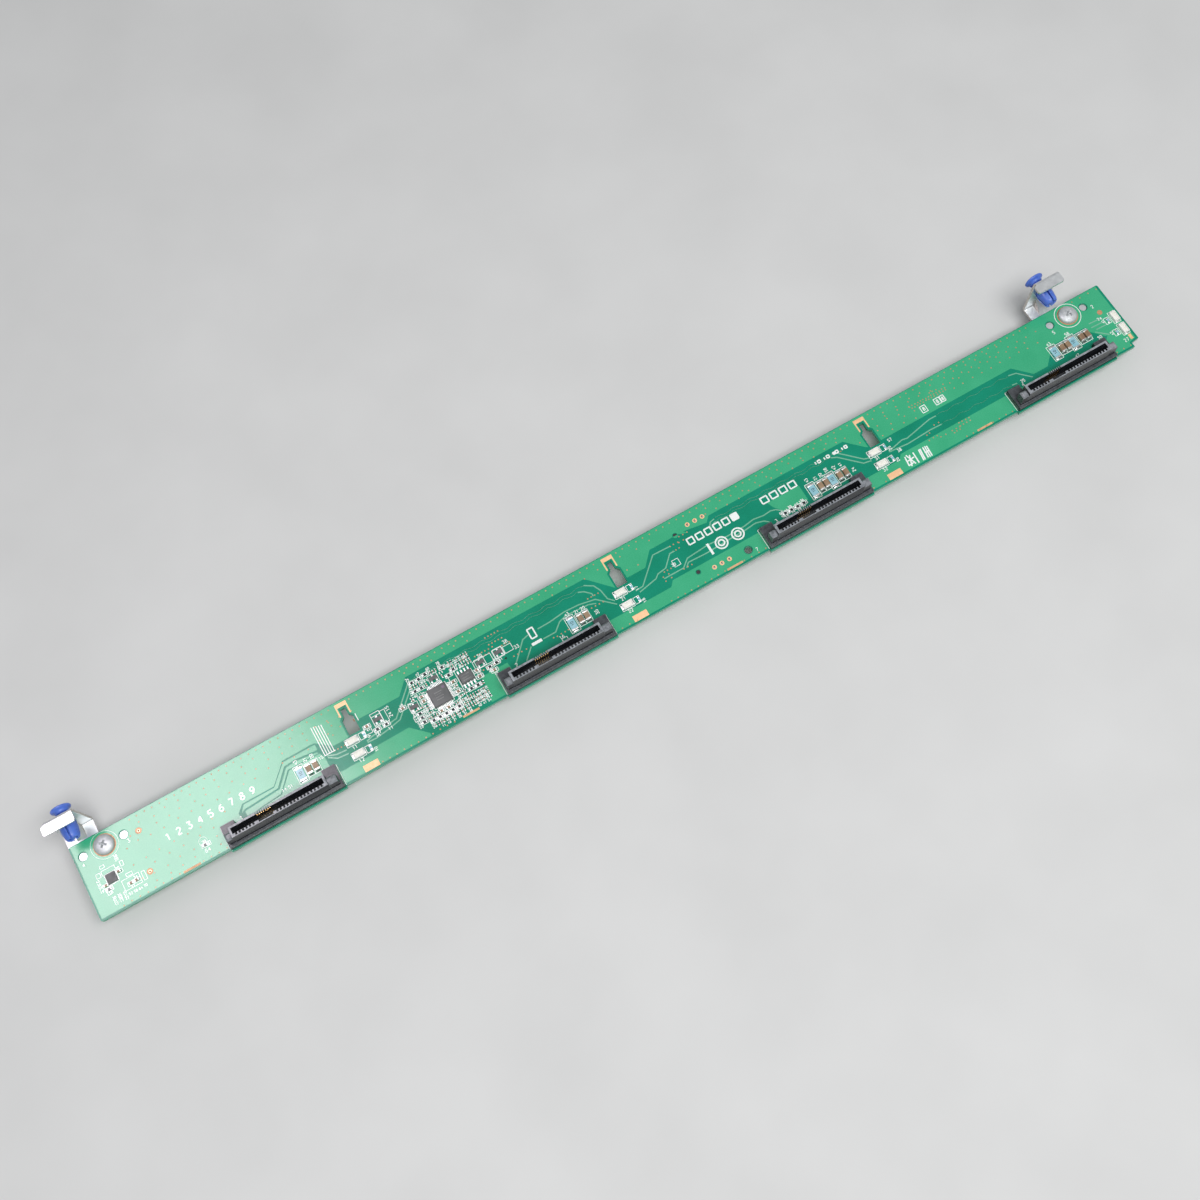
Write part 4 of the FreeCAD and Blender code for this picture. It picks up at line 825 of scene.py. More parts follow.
def row_tree():
    """One model set out along each path, with a seeded nudge to every place."""
    tree, given = tree_with("row_of_parts", Part="Object", Step="Float", Nudge="Float",
                            Seed="Int", Finish="Material")
    line = add(tree, "GeometryNodeMeshToCurve", {0: given["Geometry"]})
    points = add(tree, "GeometryNodeCurveToPoints",
                 {0: line.outputs[0], "Length": given["Step"]}, mode="LENGTH")
    reach = add(tree, "ShaderNodeVectorMath", {0: (1, 1, 0), "Scale": given["Nudge"]},
                operation="SCALE").outputs[0]
    back = add(tree, "ShaderNodeVectorMath", {0: (-1, -1, 0), "Scale": given["Nudge"]},
               operation="SCALE").outputs[0]
    nudge = add(tree, "FunctionNodeRandomValue", data_type="FLOAT_VECTOR")
    tree.links.new(back, nudge.inputs[0])
    tree.links.new(reach, nudge.inputs[1])
    tree.links.new(given["Seed"], nudge.inputs["Seed"])
    moved = add(tree, "GeometryNodeSetPosition",
                {0: points.outputs[0], "Offset": nudge.outputs[0]})
    model = add(tree, "GeometryNodeObjectInfo", {"Object": given["Part"]})
    placed = add(tree, "GeometryNodeInstanceOnPoints",
                 {"Points": moved.outputs[0], "Instance": model.outputs["Geometry"]})
    end_tree(tree, placed.outputs[0], given["Finish"])
    return tree


rows_of = row_tree()


def grow_with(model, name, data, tree, **values):
    """Run a tree that sets out a model, handed to it as a helper object."""
    part = put(name + "_model", model)
    mesh = grow(name, data, tree, Part=part, **values)
    bpy.data.objects.remove(part)
    return mesh

# %% Set out the vias
# Each set: its step and nudge, its seed, and its rows as start, end and height.
via_sets = {
    "vias_stitching": (2.75, 0.12, 3, [
        (22, 98, 26.1), (106, 204, 26.1), (213, 311, 26.1), (320, 390, 26.1), (411, 422, 26.2),
        (8.8, 47, 0.45), (106, 134, 0.35), (201, 207, 0.3), (221, 243, 0.3), (251, 260, 0.3),
        (306, 311, 0.4), (346, 366, 0.3), (413, 419, 0.4)]),
    "vias_scattered": (4.6, 0.55, 8, [
        (25, 96, 23.4), (20, 96, 20.6), (17, 95, 17.6), (17, 52, 11.6), (24, 46, 8.9),
        (18, 46, 5.4), (22, 46, 2.9), (127, 152, 24.3), (186, 204, 23.6), (214, 226, 23.6),
        (213, 218, 18.4), (250, 305, 24.1), (248, 308, 22.1), (320, 352, 24.0),
        (325, 350, 22.4), (320, 334, 20.8), (320, 336, 18.6), (320, 334, 16.2),
        (303, 311, 18.4)]),
    "vias_thermal": (4.0, 0.3, 5, [
        (357, 376, 24.8), (355, 392, 22.7), (353, 386, 21.4), (353, 390, 18.9), (96, 104.6, 22.0),
        (94, 104, 18.8)]),
    "vias_at_sockets": (1.27, 0.02, 2, [
        (157.4, 162.5, 21.7), (157.4, 162.5, 18.8), (195.8, 200.0, 16.0), (195.3, 200.0, 12.3),
        (93.4, 98.6, 12.1)]),
    "vias_for_probes": (1.15, 0.16, 7, [
        (334.7, 350, 20.8), (335.2, 350, 20.0), (344, 347, 21.9), (333.6, 337, 6.1),
        (338, 340, 4.9), (342.8, 346, 5.0), (342.9, 345.6, 3.9), (346.5, 351, 6.2),
        (346.5, 350.8, 5.2), (334, 335.2, 8.3), (338.3, 340.4, 10.3)]),
    "vias_at_parts": (1.3, 0.12, 4, [
        (178.3, 184.4, 9.4), (171.6, 173.8, 6.5), (230.9, 234.2, 18.3), (234.5, 236.4, 18.1),
        (235.6, 239, 19.9), (230.9, 233.6, 16.1), (223.1, 225.4, 9.4), (223.1, 225.4, 7.8),
        (224.2, 227, 11.0), (231.0, 234.2, 8.4), (181.2, 190.5, 6.0), (163, 168, 10.7),
        (151, 158, 17.6), (152, 164, 16.2), (150, 157, 11.6)])}
via = rivet(0.52, 0.2)
for name, (step, nudge, seed, rows) in via_sets.items():
    lines = [[(start, y), (end, y)] for start, end, y in rows]
    mesh = grow_with(via, name, paths(name, lines), rows_of, Step=step * MM,
                     Nudge=nudge * MM, Seed=seed, Finish=via_copper)
    piece(name, mesh, via_copper)

# %% [markdown]
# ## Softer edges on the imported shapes
# No moulded or pressed edge is perfectly sharp, and the thin bright line along
# an edge is much of what makes a small part look real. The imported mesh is
# loose triangles, so a copy is welded and its flat faces are joined first.
# Then a Bevel modifier rounds only the edges that turn by more than 35 degrees.

# %% Copies with softened edges
def softened(name, node, width, finish):
    """A welded copy of a node with rounded edges, which stands for it."""
    work = bmesh.new()
    work.from_mesh(bpy.data.objects[node].data)
    bmesh.ops.remove_doubles(work, verts=work.verts, dist=2e-6)
    bmesh.ops.dissolve_limit(work, angle_limit=math.radians(1), verts=work.verts,
                             edges=work.edges)
    source = bpy.data.objects.new(name, mesh_of(work))
    bevel = source.modifiers.new("soft edges", "BEVEL")
    bevel.width = width * MM
    bevel.segments = 2
    bevel.limit_method = "ANGLE"
    bevel.angle_limit = math.radians(35)
    bevel.miter_outer = "MITER_ARC"
    return piece(name, as_mesh(source), finish, stands_for=[node], smooth=20)


for bay in BAYS:
    softened(f"socket_body_{bay}", f"drive_socket_housing_{bay}", 0.09, socket_resin)
for side in ("left", "right"):
    softened(f"latch_bracket_{side}", f"bracket_{side}", 0.07, zinc_sheet)
softened("controller_body", "controller_chip", 0.05, chip_epoxy)
softened("memory_body", "memory_chip", 0.05, chip_epoxy)
softened("sensor_body", "sensor_chip", 0.05, chip_epoxy)
softened("transistor_bodies", "transistors", 0.06, chip_epoxy)
softened("cable_socket_body", "cable_socket_housing", 0.08, header_resin)
softened("power_header_body", "power_header_housing", 0.1, header_resin)

# %% Finishes of the nodes that keep their mesh
for node, finish in [("circuit_board", mask_on_laminate), ("controller_leads", tin_plate),
                     ("memory_leads", tin_plate), ("transistor_leads", tin_plate),
                     ("cable_socket_cage", bright_tin), ("cable_socket_contacts", contact_gold),
                     ("power_header_pins", tin_plate)] + [
                         (f"{row}_contacts_{bay}", contact_gold) for bay in BAYS
                         for row in ("signal", "second_port", "power")]:
    slots = bpy.data.objects[node].data.materials
    slots.clear()
    slots.append(finish)
print("finishes given to the packed nodes")

# %% [markdown]
# ## Screws
# Each bracket screw has a low domed head with a cross recess and a thin
# collar. The head is turned from its profile. The recess is cut by a Boolean
# with a cross that narrows downward, like the tip of its driver.

# %% Bracket screws
def tapered_cross(length, width, depth, top):
    """Two crossed wedges, wide at the top and narrow below."""
    work = bmesh.new()
    for turn in (0, math.pi / 2):
        made = bmesh.ops.create_cube(work, size=1)["verts"]
        for vertex in made:
            x, y, z = vertex.co
            narrow = 1.0 if z > 0 else 0.04
            vertex.co = Vector((x * length * narrow * MM, y * width * (0.2 + 0.8 * narrow) * MM,
                                (top if z > 0 else top - depth) * MM))
        bmesh.ops.rotate(work, verts=made, matrix=Matrix.Rotation(turn, 3, "Z"))
    return mesh_of(work)


def cut_from(mesh, *tools):
    """Cut tool meshes from a mesh."""
    source = bpy.data.objects.new("cut", mesh)
    helpers = []
    for tool in tools:
        helper = put("tool", tool)
        helpers.append(helper)
        cut = source.modifiers.new("cut", "BOOLEAN")
        cut.operation = "DIFFERENCE"
        cut.solver = "EXACT"
        cut.use_self = True
        cut.object = helper
    result = as_mesh(source)
    for helper in helpers:
        bpy.data.objects.remove(helper)
    return result


def screw_mesh(low, high):
    """A head with a low dome and a collar, on a plain shank."""
    top = high.z / MM
    foot = low.z / MM
    head = (high.x - low.x) / 2 / MM
    dome = [(head * math.cos(a), 0.62 + (top - 0.62) * math.sin(a))
            for a in (math.radians(d) for d in range(0, 91, 9))]
    dome[-1] = (0.0, top)
    profile = ([(0.0, foot), (1.2, foot), (1.5, foot + 0.4), (1.5, 0.0), (head - 0.12, 0.0),
                (head, 0.12), (head, 0.35)] + dome)
    return cut_from(turned(profile, 64), tapered_cross(3.6, 0.95, 1.7, top + 0.2))


for side in ("left", "right"):
    low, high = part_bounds(f"bracket_screw_{side}")
    mesh = screw_mesh(low, high)
    turn = 0.9 if side == "left" else 0.35
    mesh.transform(Matrix.Rotation(turn, 4, "Z"))
    mesh.transform(Matrix.Translation(((low.x + high.x) / 2, (low.y + high.y) / 2, 0)))
    piece(f"domed_screw_{side}", mesh, zinc_screw,
          stands_for=[f"bracket_screw_{side}"], smooth=32)

# %% [markdown]
# ## Snap plungers
# A plunger is two mouldings. The grommet's split barrel is pushed through the
# bracket, and when the pin slides in, the barrel's legs can't close again.
# Both are turned about their axis, and the barrel's two slots are cut after.
# The corner between the pin's stem and its head stays sharp, because a fillet
# there would run into the mouth of the barrel when the pin is pushed home.
# The pins ride on their own bodies, so they slide out of the grommets.

# %% Grommets and pins
def add_box(work, low, high):
    """Add a box to some work, from corner to corner in millimetres."""
    for vertex in bmesh.ops.create_cube(work, size=1)["verts"]:
        vertex.co = Vector([(a if c < 0 else b) * MM for a, b, c in zip(low, high, vertex.co)])


def block(low, high):
    """A plain block to cut with."""
    work = bmesh.new()
    add_box(work, low, high)
    return mesh_of(work)


def rounded(profile, reach, steps=3):
    """A profile whose inner corners are rounded, starting reach from each."""
    points = [profile[0]]
    for before, corner, after in zip(profile, profile[1:], profile[2:]):
        a, b, c = Vector(before), Vector(corner), Vector(after)
        cut = min(reach, (a - b).length / 2.2, (c - b).length / 2.2)
        start = b + (a - b).normalized() * cut
        end = b + (c - b).normalized() * cut
        for i in range(steps + 1):
            t = i / steps
            points.append(tuple((1 - t) ** 2 * start + 2 * t * (1 - t) * b + t * t * end))
    points.append(profile[-1])
    return points


for side in ("left", "right"):
    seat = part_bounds(f"bracket_{side}")[1].y
    low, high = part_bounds(f"plunger_grommet_{side}")
    axis = Matrix.Translation(((low.x + high.x) / 2, seat, (low.z + high.z) / 2))
    tip = (low.y - seat) / MM
    flange = (high.y - seat) / MM
    rim = (high.x - low.x) / 2 / MM
    profile = rounded([(1.55, flange), (rim - 0.25, flange), (rim, flange - 0.3), (rim, 0.0),
                       (2.5, 0.0), (2.5, -1.0), (3.0, -1.0), (3.0, tip + 3.4),
                       (2.65, tip + 1.0), (2.2, tip), (1.55, tip), (1.55, flange)], 0.18)
    barrel = merged(turned(profile, 64), 1e-6)
    grommet = cut_from(barrel, block((-0.4, -4, tip - 1), (0.4, 4, -1.3)),
                       block((-4, -0.4, tip - 1), (4, 0.4, -1.3)))
    grommet.transform(Matrix.Rotation(-math.pi / 2, 4, "X"))
    grommet.transform(axis)
    piece(f"split_grommet_{side}", grommet, nylon_blue,
          stands_for=[f"plunger_grommet_{side}"], smooth=30)
    low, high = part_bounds(f"plunger_pin_{side}")
    tip = (low.y - seat) / MM
    top = (high.y - seat) / MM
    rim = (high.x - low.x) / 2 / MM
    neck = (1.5, top - 2.6)
    stem = rounded([(0.0, tip), (0.8, tip), (1.5, tip + 1.2), neck], 0.3)
    head = rounded([neck, (2.3, top - 2.6), (2.65, top - 1.7), (rim, top - 1.1),
                    (rim, top - 0.5), (2.15, top), (0.0, top)], 0.3)
    pin = turned(stem + head[1:], 64)
    pin.transform(Matrix.Rotation(-math.pi / 2, 4, "X"))
    pin.transform(axis)
    piece(f"mushroom_pin_{side}", pin, nylon_blue, f"plunger_pin_{side}",
          [f"plunger_pin_{side}"], smooth=30)

# %% [markdown]
# ## Chip resistors and capacitors
# A chip part is a small ceramic brick with a tinned cap over each end, held by
# a fillet of solder that climbs the cap from its pad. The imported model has
# the bricks. Their places are read from it, and the three shapes that make
# one part are modelled once and set out by a tree on a mesh of points.

# %% Set models out on points
def bricks(node):
    """The box of each loose solid of a node, in the node's own order."""
    work = bmesh.new()
    work.from_mesh(bpy.data.objects[node].data)
    bmesh.ops.remove_doubles(work, verts=work.verts, dist=1e-7)
    waiting = set(work.verts)
    found = []
    while waiting:
        group = [waiting.pop()]
        for vertex in group:
            for edge in vertex.link_edges:
                other = edge.other_vert(vertex)
                if other in waiting:
                    waiting.discard(other)
                    group.append(other)
        low = Vector([min(v.co[i] for v in group) for i in range(3)])
        high = Vector([max(v.co[i] for v in group) for i in range(3)])
        found.append((low, high))
    work.free()
    return sorted(found, key=lambda pair: tuple(pair[0]))


def point_tree():
    tree, given = tree_with("part_on_each_point", Part="Object", Finish="Material")
    model = add(tree, "GeometryNodeObjectInfo", {"Object": given["Part"]})
    turn = add(tree, "GeometryNodeInputNamedAttribute", {"Name": "turn"},
               data_type="FLOAT_VECTOR")
    placed = add(tree, "GeometryNodeInstanceOnPoints",
                 {"Points": given["Geometry"], "Instance": model.outputs["Geometry"],
                  "Rotation": turn.outputs[0]})
    end_tree(tree, placed.outputs[0], given["Finish"])
    return tree


on_points = point_tree()


def set_out(name, model, places, finish, smooth=None, stands_for=()):
    """One model at each place: x, y, z in metres and a turn about Z."""
    points = bpy.data.meshes.new(name)
    points.from_pydata([where[:3] for where in places], [], [])
    turns = points.attributes.new("turn", "FLOAT_VECTOR", "POINT")
    for item, where in zip(turns.data, places):
        item.vector = (0, 0, where[3])
    mesh = grow_with(model, name, points, on_points, Finish=finish)
    return piece(name, mesh, finish, stands_for=stands_for, smooth=smooth)


def brick_mesh(boxes, soft, segments=2):
    """Blocks with rounded edges, given by their corners in millimetres."""
    work = bmesh.new()
    for low, high in boxes:
        add_box(work, low, high)
    bmesh.ops.bevel(work, geom=list(work.edges), offset=soft * MM,
                    segments=segments, affect="EDGES", profile=0.5)
    return mesh_of(work)


def fillet_mesh(length, width, height, reach):
    """A solder fillet at each end: high at the cap, thin at its toe, hollow between."""
    work = bmesh.new()
    curve = [(0.0, height), (0.12 * reach, height * 0.55), (0.35 * reach, height * 0.28),
             (0.7 * reach, height * 0.13), (reach, 0.05)]
    for side in (-1, 1):
        rows = []
        for out, tall in curve:
            x = side * (length / 2 - 0.02 + out) * MM
            half = width / 2 * (1 - 0.12 * out / reach) * MM
            rows.append([work.verts.new((x, y, z)) for y, z in (
                (-half, 0.0), (-half * 0.9, tall * MM), (half * 0.9, tall * MM), (half, 0.0))])
        for near, far in zip(rows, rows[1:]):
            for i in range(4):
                work.faces.new([near[i], near[(i + 1) % 4], far[(i + 1) % 4], far[i]])
        work.faces.new(rows[0])
        work.faces.new(rows[-1])
    return mesh_of(work, outward=True)


def dress(name, places, size, cap, body_finish, nodes=(), segments=2):
    """A body, two end caps and their solder at each place, for parts of one size."""
    length, width, tall = size
    core = [((-length / 2 + 0.03, -width / 2 + 0.03, 0.04),
             (length / 2 - 0.03, width / 2 - 0.03, tall - 0.04))]
    caps = [((side * length / 2 - (cap if side > 0 else 0), -width / 2, 0.02),
             (side * length / 2 + (0 if side > 0 else cap), width / 2, tall))
            for side in (-1, 1)]
    set_out(name, brick_mesh(core, 0.03, segments), places, body_finish, 20, nodes)
    set_out(name + "_caps", brick_mesh(caps, min(0.08, cap / 4), segments), places, tin_plate,
            20)
    set_out(name + "_solder", fillet_mesh(length, width, tall * 0.75, min(0.5, width * 0.35)),
            places, solder, 50)


def chip_parts(name, nodes, cap, body_finish):
    """Dress every brick of some nodes, which share a size."""
    places = []
    for node in nodes:
        for low, high in bricks(node):
            size = (high - low) / MM
            upright = size.y > size.x
            places.append(((low.x + high.x) / 2, (low.y + high.y) / 2, 0.0,
                           math.pi / 2 if upright else 0.0))
    length, width = (size.y, size.x) if upright else (size.x, size.y)
    dress(name, places, (length, width, size.z), cap, body_finish, nodes)


chip_parts("shunts", [f"shunt_resistors_{bay}" for bay in BAYS], 0.62, resistor_glaze)
chip_parts("capacitors", [f"filter_capacitors_{bay}" for bay in BAYS], 0.55, brown_ceramic)
chip_parts("light_resistors", [f"led_resistors_{bay}" for bay in BAYS], 0.32, resistor_glaze)
chip_parts("chip_resistors", ["small_resistors"], 0.3, film_glaze)
chip_parts("chip_capacitors", ["small_capacitors"], 0.35, brown_ceramic)

# %% [markdown]
# ## Status lights
# Each light is a white moulded case with a shallow reflector. A clear resin
# with a yellowish phosphor fills the reflector, and two tinned feet come out
# from under its ends.

# %% Status lights
def pillow(low, high, crown, steps=8):
    """A closed slab whose top swells by crown in its middle, in metres."""
    work = bmesh.new()
    grid = [[None] * (steps + 1) for _ in range(steps + 1)]
    base = [[None] * (steps + 1) for _ in range(steps + 1)]
    for i in range(steps + 1):
        for j in range(steps + 1):
            u, v = i / steps, j / steps
            x = low.x + (high.x - low.x) * u
            y = low.y + (high.y - low.y) * v
            swell = crown * (1 - (2 * u - 1) ** 4) * (1 - (2 * v - 1) ** 4)
            grid[i][j] = work.verts.new((x, y, high.z + swell))
            if i in (0, steps) or j in (0, steps):
                base[i][j] = work.verts.new((x, y, low.z))
    for i in range(steps):
        for j in range(steps):
            work.faces.new((grid[i][j], grid[i + 1][j], grid[i + 1][j + 1], grid[i][j + 1]))
    border = ([(i, 0) for i in range(steps)] + [(steps, j) for j in range(steps)]
              + [(i, steps) for i in range(steps, 0, -1)] + [(0, j) for j in range(steps, 0, -1)])
    for (i, j), (k, l) in zip(border, border[1:] + border[:1]):
        work.faces.new((base[i][j], base[k][l], grid[k][l], grid[i][j]))
    work.faces.new([base[i][j] for i, j in reversed(border)])
    return mesh_of(work, outward=True)


def joined(meshes):
    """Several meshes as one."""
    work = bmesh.new()
    for mesh in meshes:
        work.from_mesh(mesh)
    return mesh_of(work)


lenses = []
feet = []
for bay in BAYS:
    for row in ("upper", "lower"):
        node = f"status_led_{row}_{bay}"
        softened(f"light_case_{row}_{bay}", node, 0.08, light_case)
        low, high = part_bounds(node)
        inset = Vector((0.42, 0.42, 0)) * MM
        deep = Vector((0, 0, 0.42 * MM))
        top = Vector((high.x, high.y, high.z - 0.2 * MM))
        lenses.append(pillow(Vector((low.x, low.y, top.z)) + inset - deep / 2, top - inset,
                             0.1 * MM))
        across = high.y - low.y > high.x - low.x
        for side in (-1, 1):
            middle_x, middle_y = (low.x + high.x) / 2 / MM, (low.y + high.y) / 2 / MM
            half = (high.y - low.y if across else high.x - low.x) / 2 / MM
            start, end = sorted((side * (half - 0.3), side * (half + 0.45)))
            if across:
                corners = ((middle_x - 0.8, middle_y + start, 0.02),
                           (middle_x + 0.8, middle_y + end, 0.28))
            else:
                corners = ((middle_x + start, middle_y - 0.8, 0.02),
                           (middle_x + end, middle_y + 0.8, 0.28))
            feet.append(brick_mesh([corners], 0.06))
piece("light_lenses", joined(lenses), light_lens, smooth=40)
piece("light_feet", joined(feet), tin_plate, smooth=40)

# %% [markdown]
# ## Solder lands
# Each lead of a chip stands on a tinned land that is a little longer than its
# foot. The lands show as a bright comb around the controller.

# %% Lands under the leads
def land_row(x, y, count, step, length, width, upright):
    """A row of lands along x, or along y if upright, in grid millimetres."""
    if upright:
        centres = [(x, y + i * step) for i in range(count)]
        half_x, half_y = length / 2, width / 2
    else:
        centres = [(x + i * step, y) for i in range(count)]
        half_x, half_y = width / 2, length / 2
    return [frame_of(a - half_x, b - half_y, a + half_x, b + half_y) for a, b in centres]


lands = []
cx, cy = middle(*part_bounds("controller_chip"))[:2]
for side in (-1, 1):
    lands += land_row(cx - 2.75, cy + side * 4.35, 12, 0.5, 1.2, 0.26, False)
    lands += land_row(cx + side * 4.35, cy - 2.75, 12, 0.5, 1.2, 0.26, True)
mx, my = middle(*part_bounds("memory_chip"))[:2]
for side in (-1, 1):
    lands += land_row(mx - 1.905, my + side * 2.75, 4, 1.27, 1.5, 0.6, False)
sx, sy = middle(*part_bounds("sensor_chip"))[:2]
for side in (-1, 1):
    lands += land_row(sx - 1.25, sy + side * 1.75, 6, 0.5, 0.7, 0.26, False)
    lands += land_row(sx + side * 1.75, sy - 1.25, 6, 0.5, 0.7, 0.26, True)
for low, high in bricks("transistor_leads"):
    lx, ly = middle(low, high)[:2]
    lands.append(frame_of(lx - 0.32, ly - 0.45, lx + 0.32, ly + 0.45))
inlay("solder_lands", lands, 0.01, 0.055, solder)

# %% Paint dot and sleeves
dot = pillow(Vector((-0.5, -0.5, 0)) * MM, Vector((0.5, 0.5, 0.02)) * MM, 0.02 * MM)
paint = cloudy_finish("violet_paint", 0.4, 3.0, 3, (0.3, (0.13, 0.08, 0.14)),
                      (0.7, (0.19, 0.13, 0.20)))
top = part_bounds("controller_chip")[1].z / MM
set_out("paint_dot", dot, [(*spot(cx + 2.35, cy + 2.1)[:2], top * MM - 0.00001, 0.0)], paint,
        40)


def sleeve(wide, low, high):
    """The copper tube that lines a plated hole."""
    outer, inner = wide / 2 - 0.005, wide / 2 - 0.12
    return merged(turned([(inner, low), (outer, low), (outer, high), (inner, high),
                          (inner, low)], 24), 1e-6)


set_out("plated_sleeves", sleeve(1.0, BACK + 0.01, 0.05),
        [(*spot(x, y)[:2], 0.0, 0.0) for x, y, wide in round_holes if 0.95 < wide < 1.05],
        bright_copper, 40)

# %% [markdown]
# ## Legend
# The printed legend numbers the parts, outlines them and marks the bays. Its
# numerals are drawn as a plotter draws them, with one pen along short
# strokes, so they come from a small table of strokes and the ribbon tree.
# Only plain numbers, boxes and rules are printed here.

# %% Numerals and marks
INK = 0.06
STROKES = {
    "0": [(0, .4), (0, 1.6), (.3, 2), (.7, 2), (1, 1.6), (1, .4), (.7, 0), (.3, 0), (0, .4)],
    "1": [(.1, 1.6), (.5, 2), (.5, 0)],
    "2": [(0, 1.6), (.3, 2), (.7, 2), (1, 1.6), (1, 1.3), (0, 0), (1, 0)],
    "3": [(0, 2), (1, 2), (.45, 1.2), (1, .8), (1, .35), (.65, 0), (.3, 0), (0, .3)],
    "4": [(.8, 0), (.8, 2), (0, .6), (1, .6)],
    "5": [(1, 2), (.1, 2), (0, 1.1), (.65, 1.2), (1, .8), (1, .35), (.65, 0), (.3, 0), (0, .25)],
    "6": [(.9, 1.9), (.4, 1.7), (0, .9), (0, .4), (.3, 0), (.7, 0), (1, .4), (1, .75),
          (.7, 1.1), (.3, 1.1), (0, .8)],
    "7": [(0, 2), (1, 2), (.35, 0)],
    "8": [(.5, 1.1), (.1, 1.4), (.1, 1.75), (.4, 2), (.6, 2), (.9, 1.75), (.9, 1.4), (.5, 1.1),
          (1, .7), (1, .35), (.7, 0), (.3, 0), (0, .35), (0, .7), (.5, 1.1)],
    "9": [(.1, .1), (.6, .3), (1, 1.1), (1, 1.6), (.7, 2), (.3, 2), (0, 1.6), (0, 1.25),
          (.3, .9), (.7, .9), (1, 1.2)]}


def number(text, x, y, tall=1.15, upright=False):
    """The strokes of a number centred at x, y; upright turns it a quarter."""
    wide = tall * 0.55
    step = wide * 1.5
    lines = []
    for i, digit in enumerate(text):
        start = (i - (len(text) - 1) / 2) * step - wide / 2
        line = [(start + px * wide, (py - 1) * tall / 2) for px, py in STROKES[digit]]
        lines.append([(x - v, y + u) if upright else (x + u, y + v) for u, v in line])
    return lines


def closed(outline):
    """An outline as one stroke that ends where it began."""
    return outline + outline[:1]


def outline_of(left, low, right, high):
    return closed(frame_of(left, low, right, high))


def around(node, room):
    """A frame round a node's box, as one closed stroke."""
    x0, y0, x1, y1 = sides_of(*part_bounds(node))
    return outline_of(x0 - room, y0 - room, x1 + room, y1 + room)


fine_lines = []
for bay in BAYS:
    for row, tag in (("upper", "1"), ("lower", "2")):
        x0, y0, x1, y1 = sides_of(*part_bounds(f"status_led_{row}_{bay}"))
        if bay < 4:
            fine_lines.append(outline_of(x0 - 0.5, y0 - 0.3, x1 + 0.25, y1 + 0.3))
            fine_lines.append(outline_of(x1 + 0.75, y0 - 0.1, x1 + 3.0, y1 + 0.1))
            fine_lines += number(f"{bay}{tag}", x0 + 1.9, y0 - 1.15, 1.2)
            fine_lines += number(f"{8 * bay + int(tag)}", x1 + 3.9, (y0 + y1) / 2 - 1.4, 1.1, True)
        else:
            fine_lines.append(outline_of(x0 - 0.3, y0 - 0.5, x1 + 0.25, y1 + 0.5))
            fine_lines += number(f"4{tag}", x0 - 3.6, (y0 + y1) / 2 + 0.5, 1.0, True)
            fine_lines.append(outline_of(x0 - 3.0, (y0 + y1) / 2 - 1.3, x0 - 0.8,
                                         (y0 + y1) / 2 + 1.3))
part_tags = {"shunt_resistors": ("43", "58"), "filter_capacitors": ("21", "20", "42", "41")}
for bay in BAYS:
    for kind, tags in part_tags.items():
        shunt = kind == "shunt_resistors"
        for (low, high), tag in zip(bricks(f"{kind}_{bay}"), tags):
            x0, y0, x1, y1 = sides_of(low, high)
            room = 0.45 if shunt else 0.3
            fine_lines.append(outline_of(x0 - room, y0 - 0.75, x1 + room, y1 + 0.75))
            if bay in (1, 3):
                fine_lines += number(tag, (x0 + x1) / 2, y1 + 2.1, 1.1, True)
            elif shunt or bay == 2:
                fine_lines += number(tag, (x0 + x1) / 2, y1 + 1.6, 1.15)
for node in ("controller_chip", "memory_chip", "sensor_chip"):
    fine_lines.append(around(node, 0.25))
for low, high in bricks("transistors"):
    x0, y0, x1, y1 = sides_of(low, high)
    fine_lines.append(outline_of(x0 - 0.3, y0 - 1.0, x1 + 0.3, y1 + 1.0))
for node in ("small_resistors", "small_capacitors"):
    for count, (low, high) in enumerate(bricks(node)):
        x0, y0, x1, y1 = sides_of(low, high)
        if x0 < 380:
            fine_lines.append(outline_of(x0 - 0.55, y0 - 0.28, x1 + 0.55, y1 + 0.28))
        if 124 < x0 < 150:
            continue
        fine_lines += number(str(13 + 7 * count % 83), (x0 + x1) / 2,
                             y1 + 0.85 if count % 2 else y0 - 0.85, 0.9)
print(len(fine_lines), "strokes round the parts")

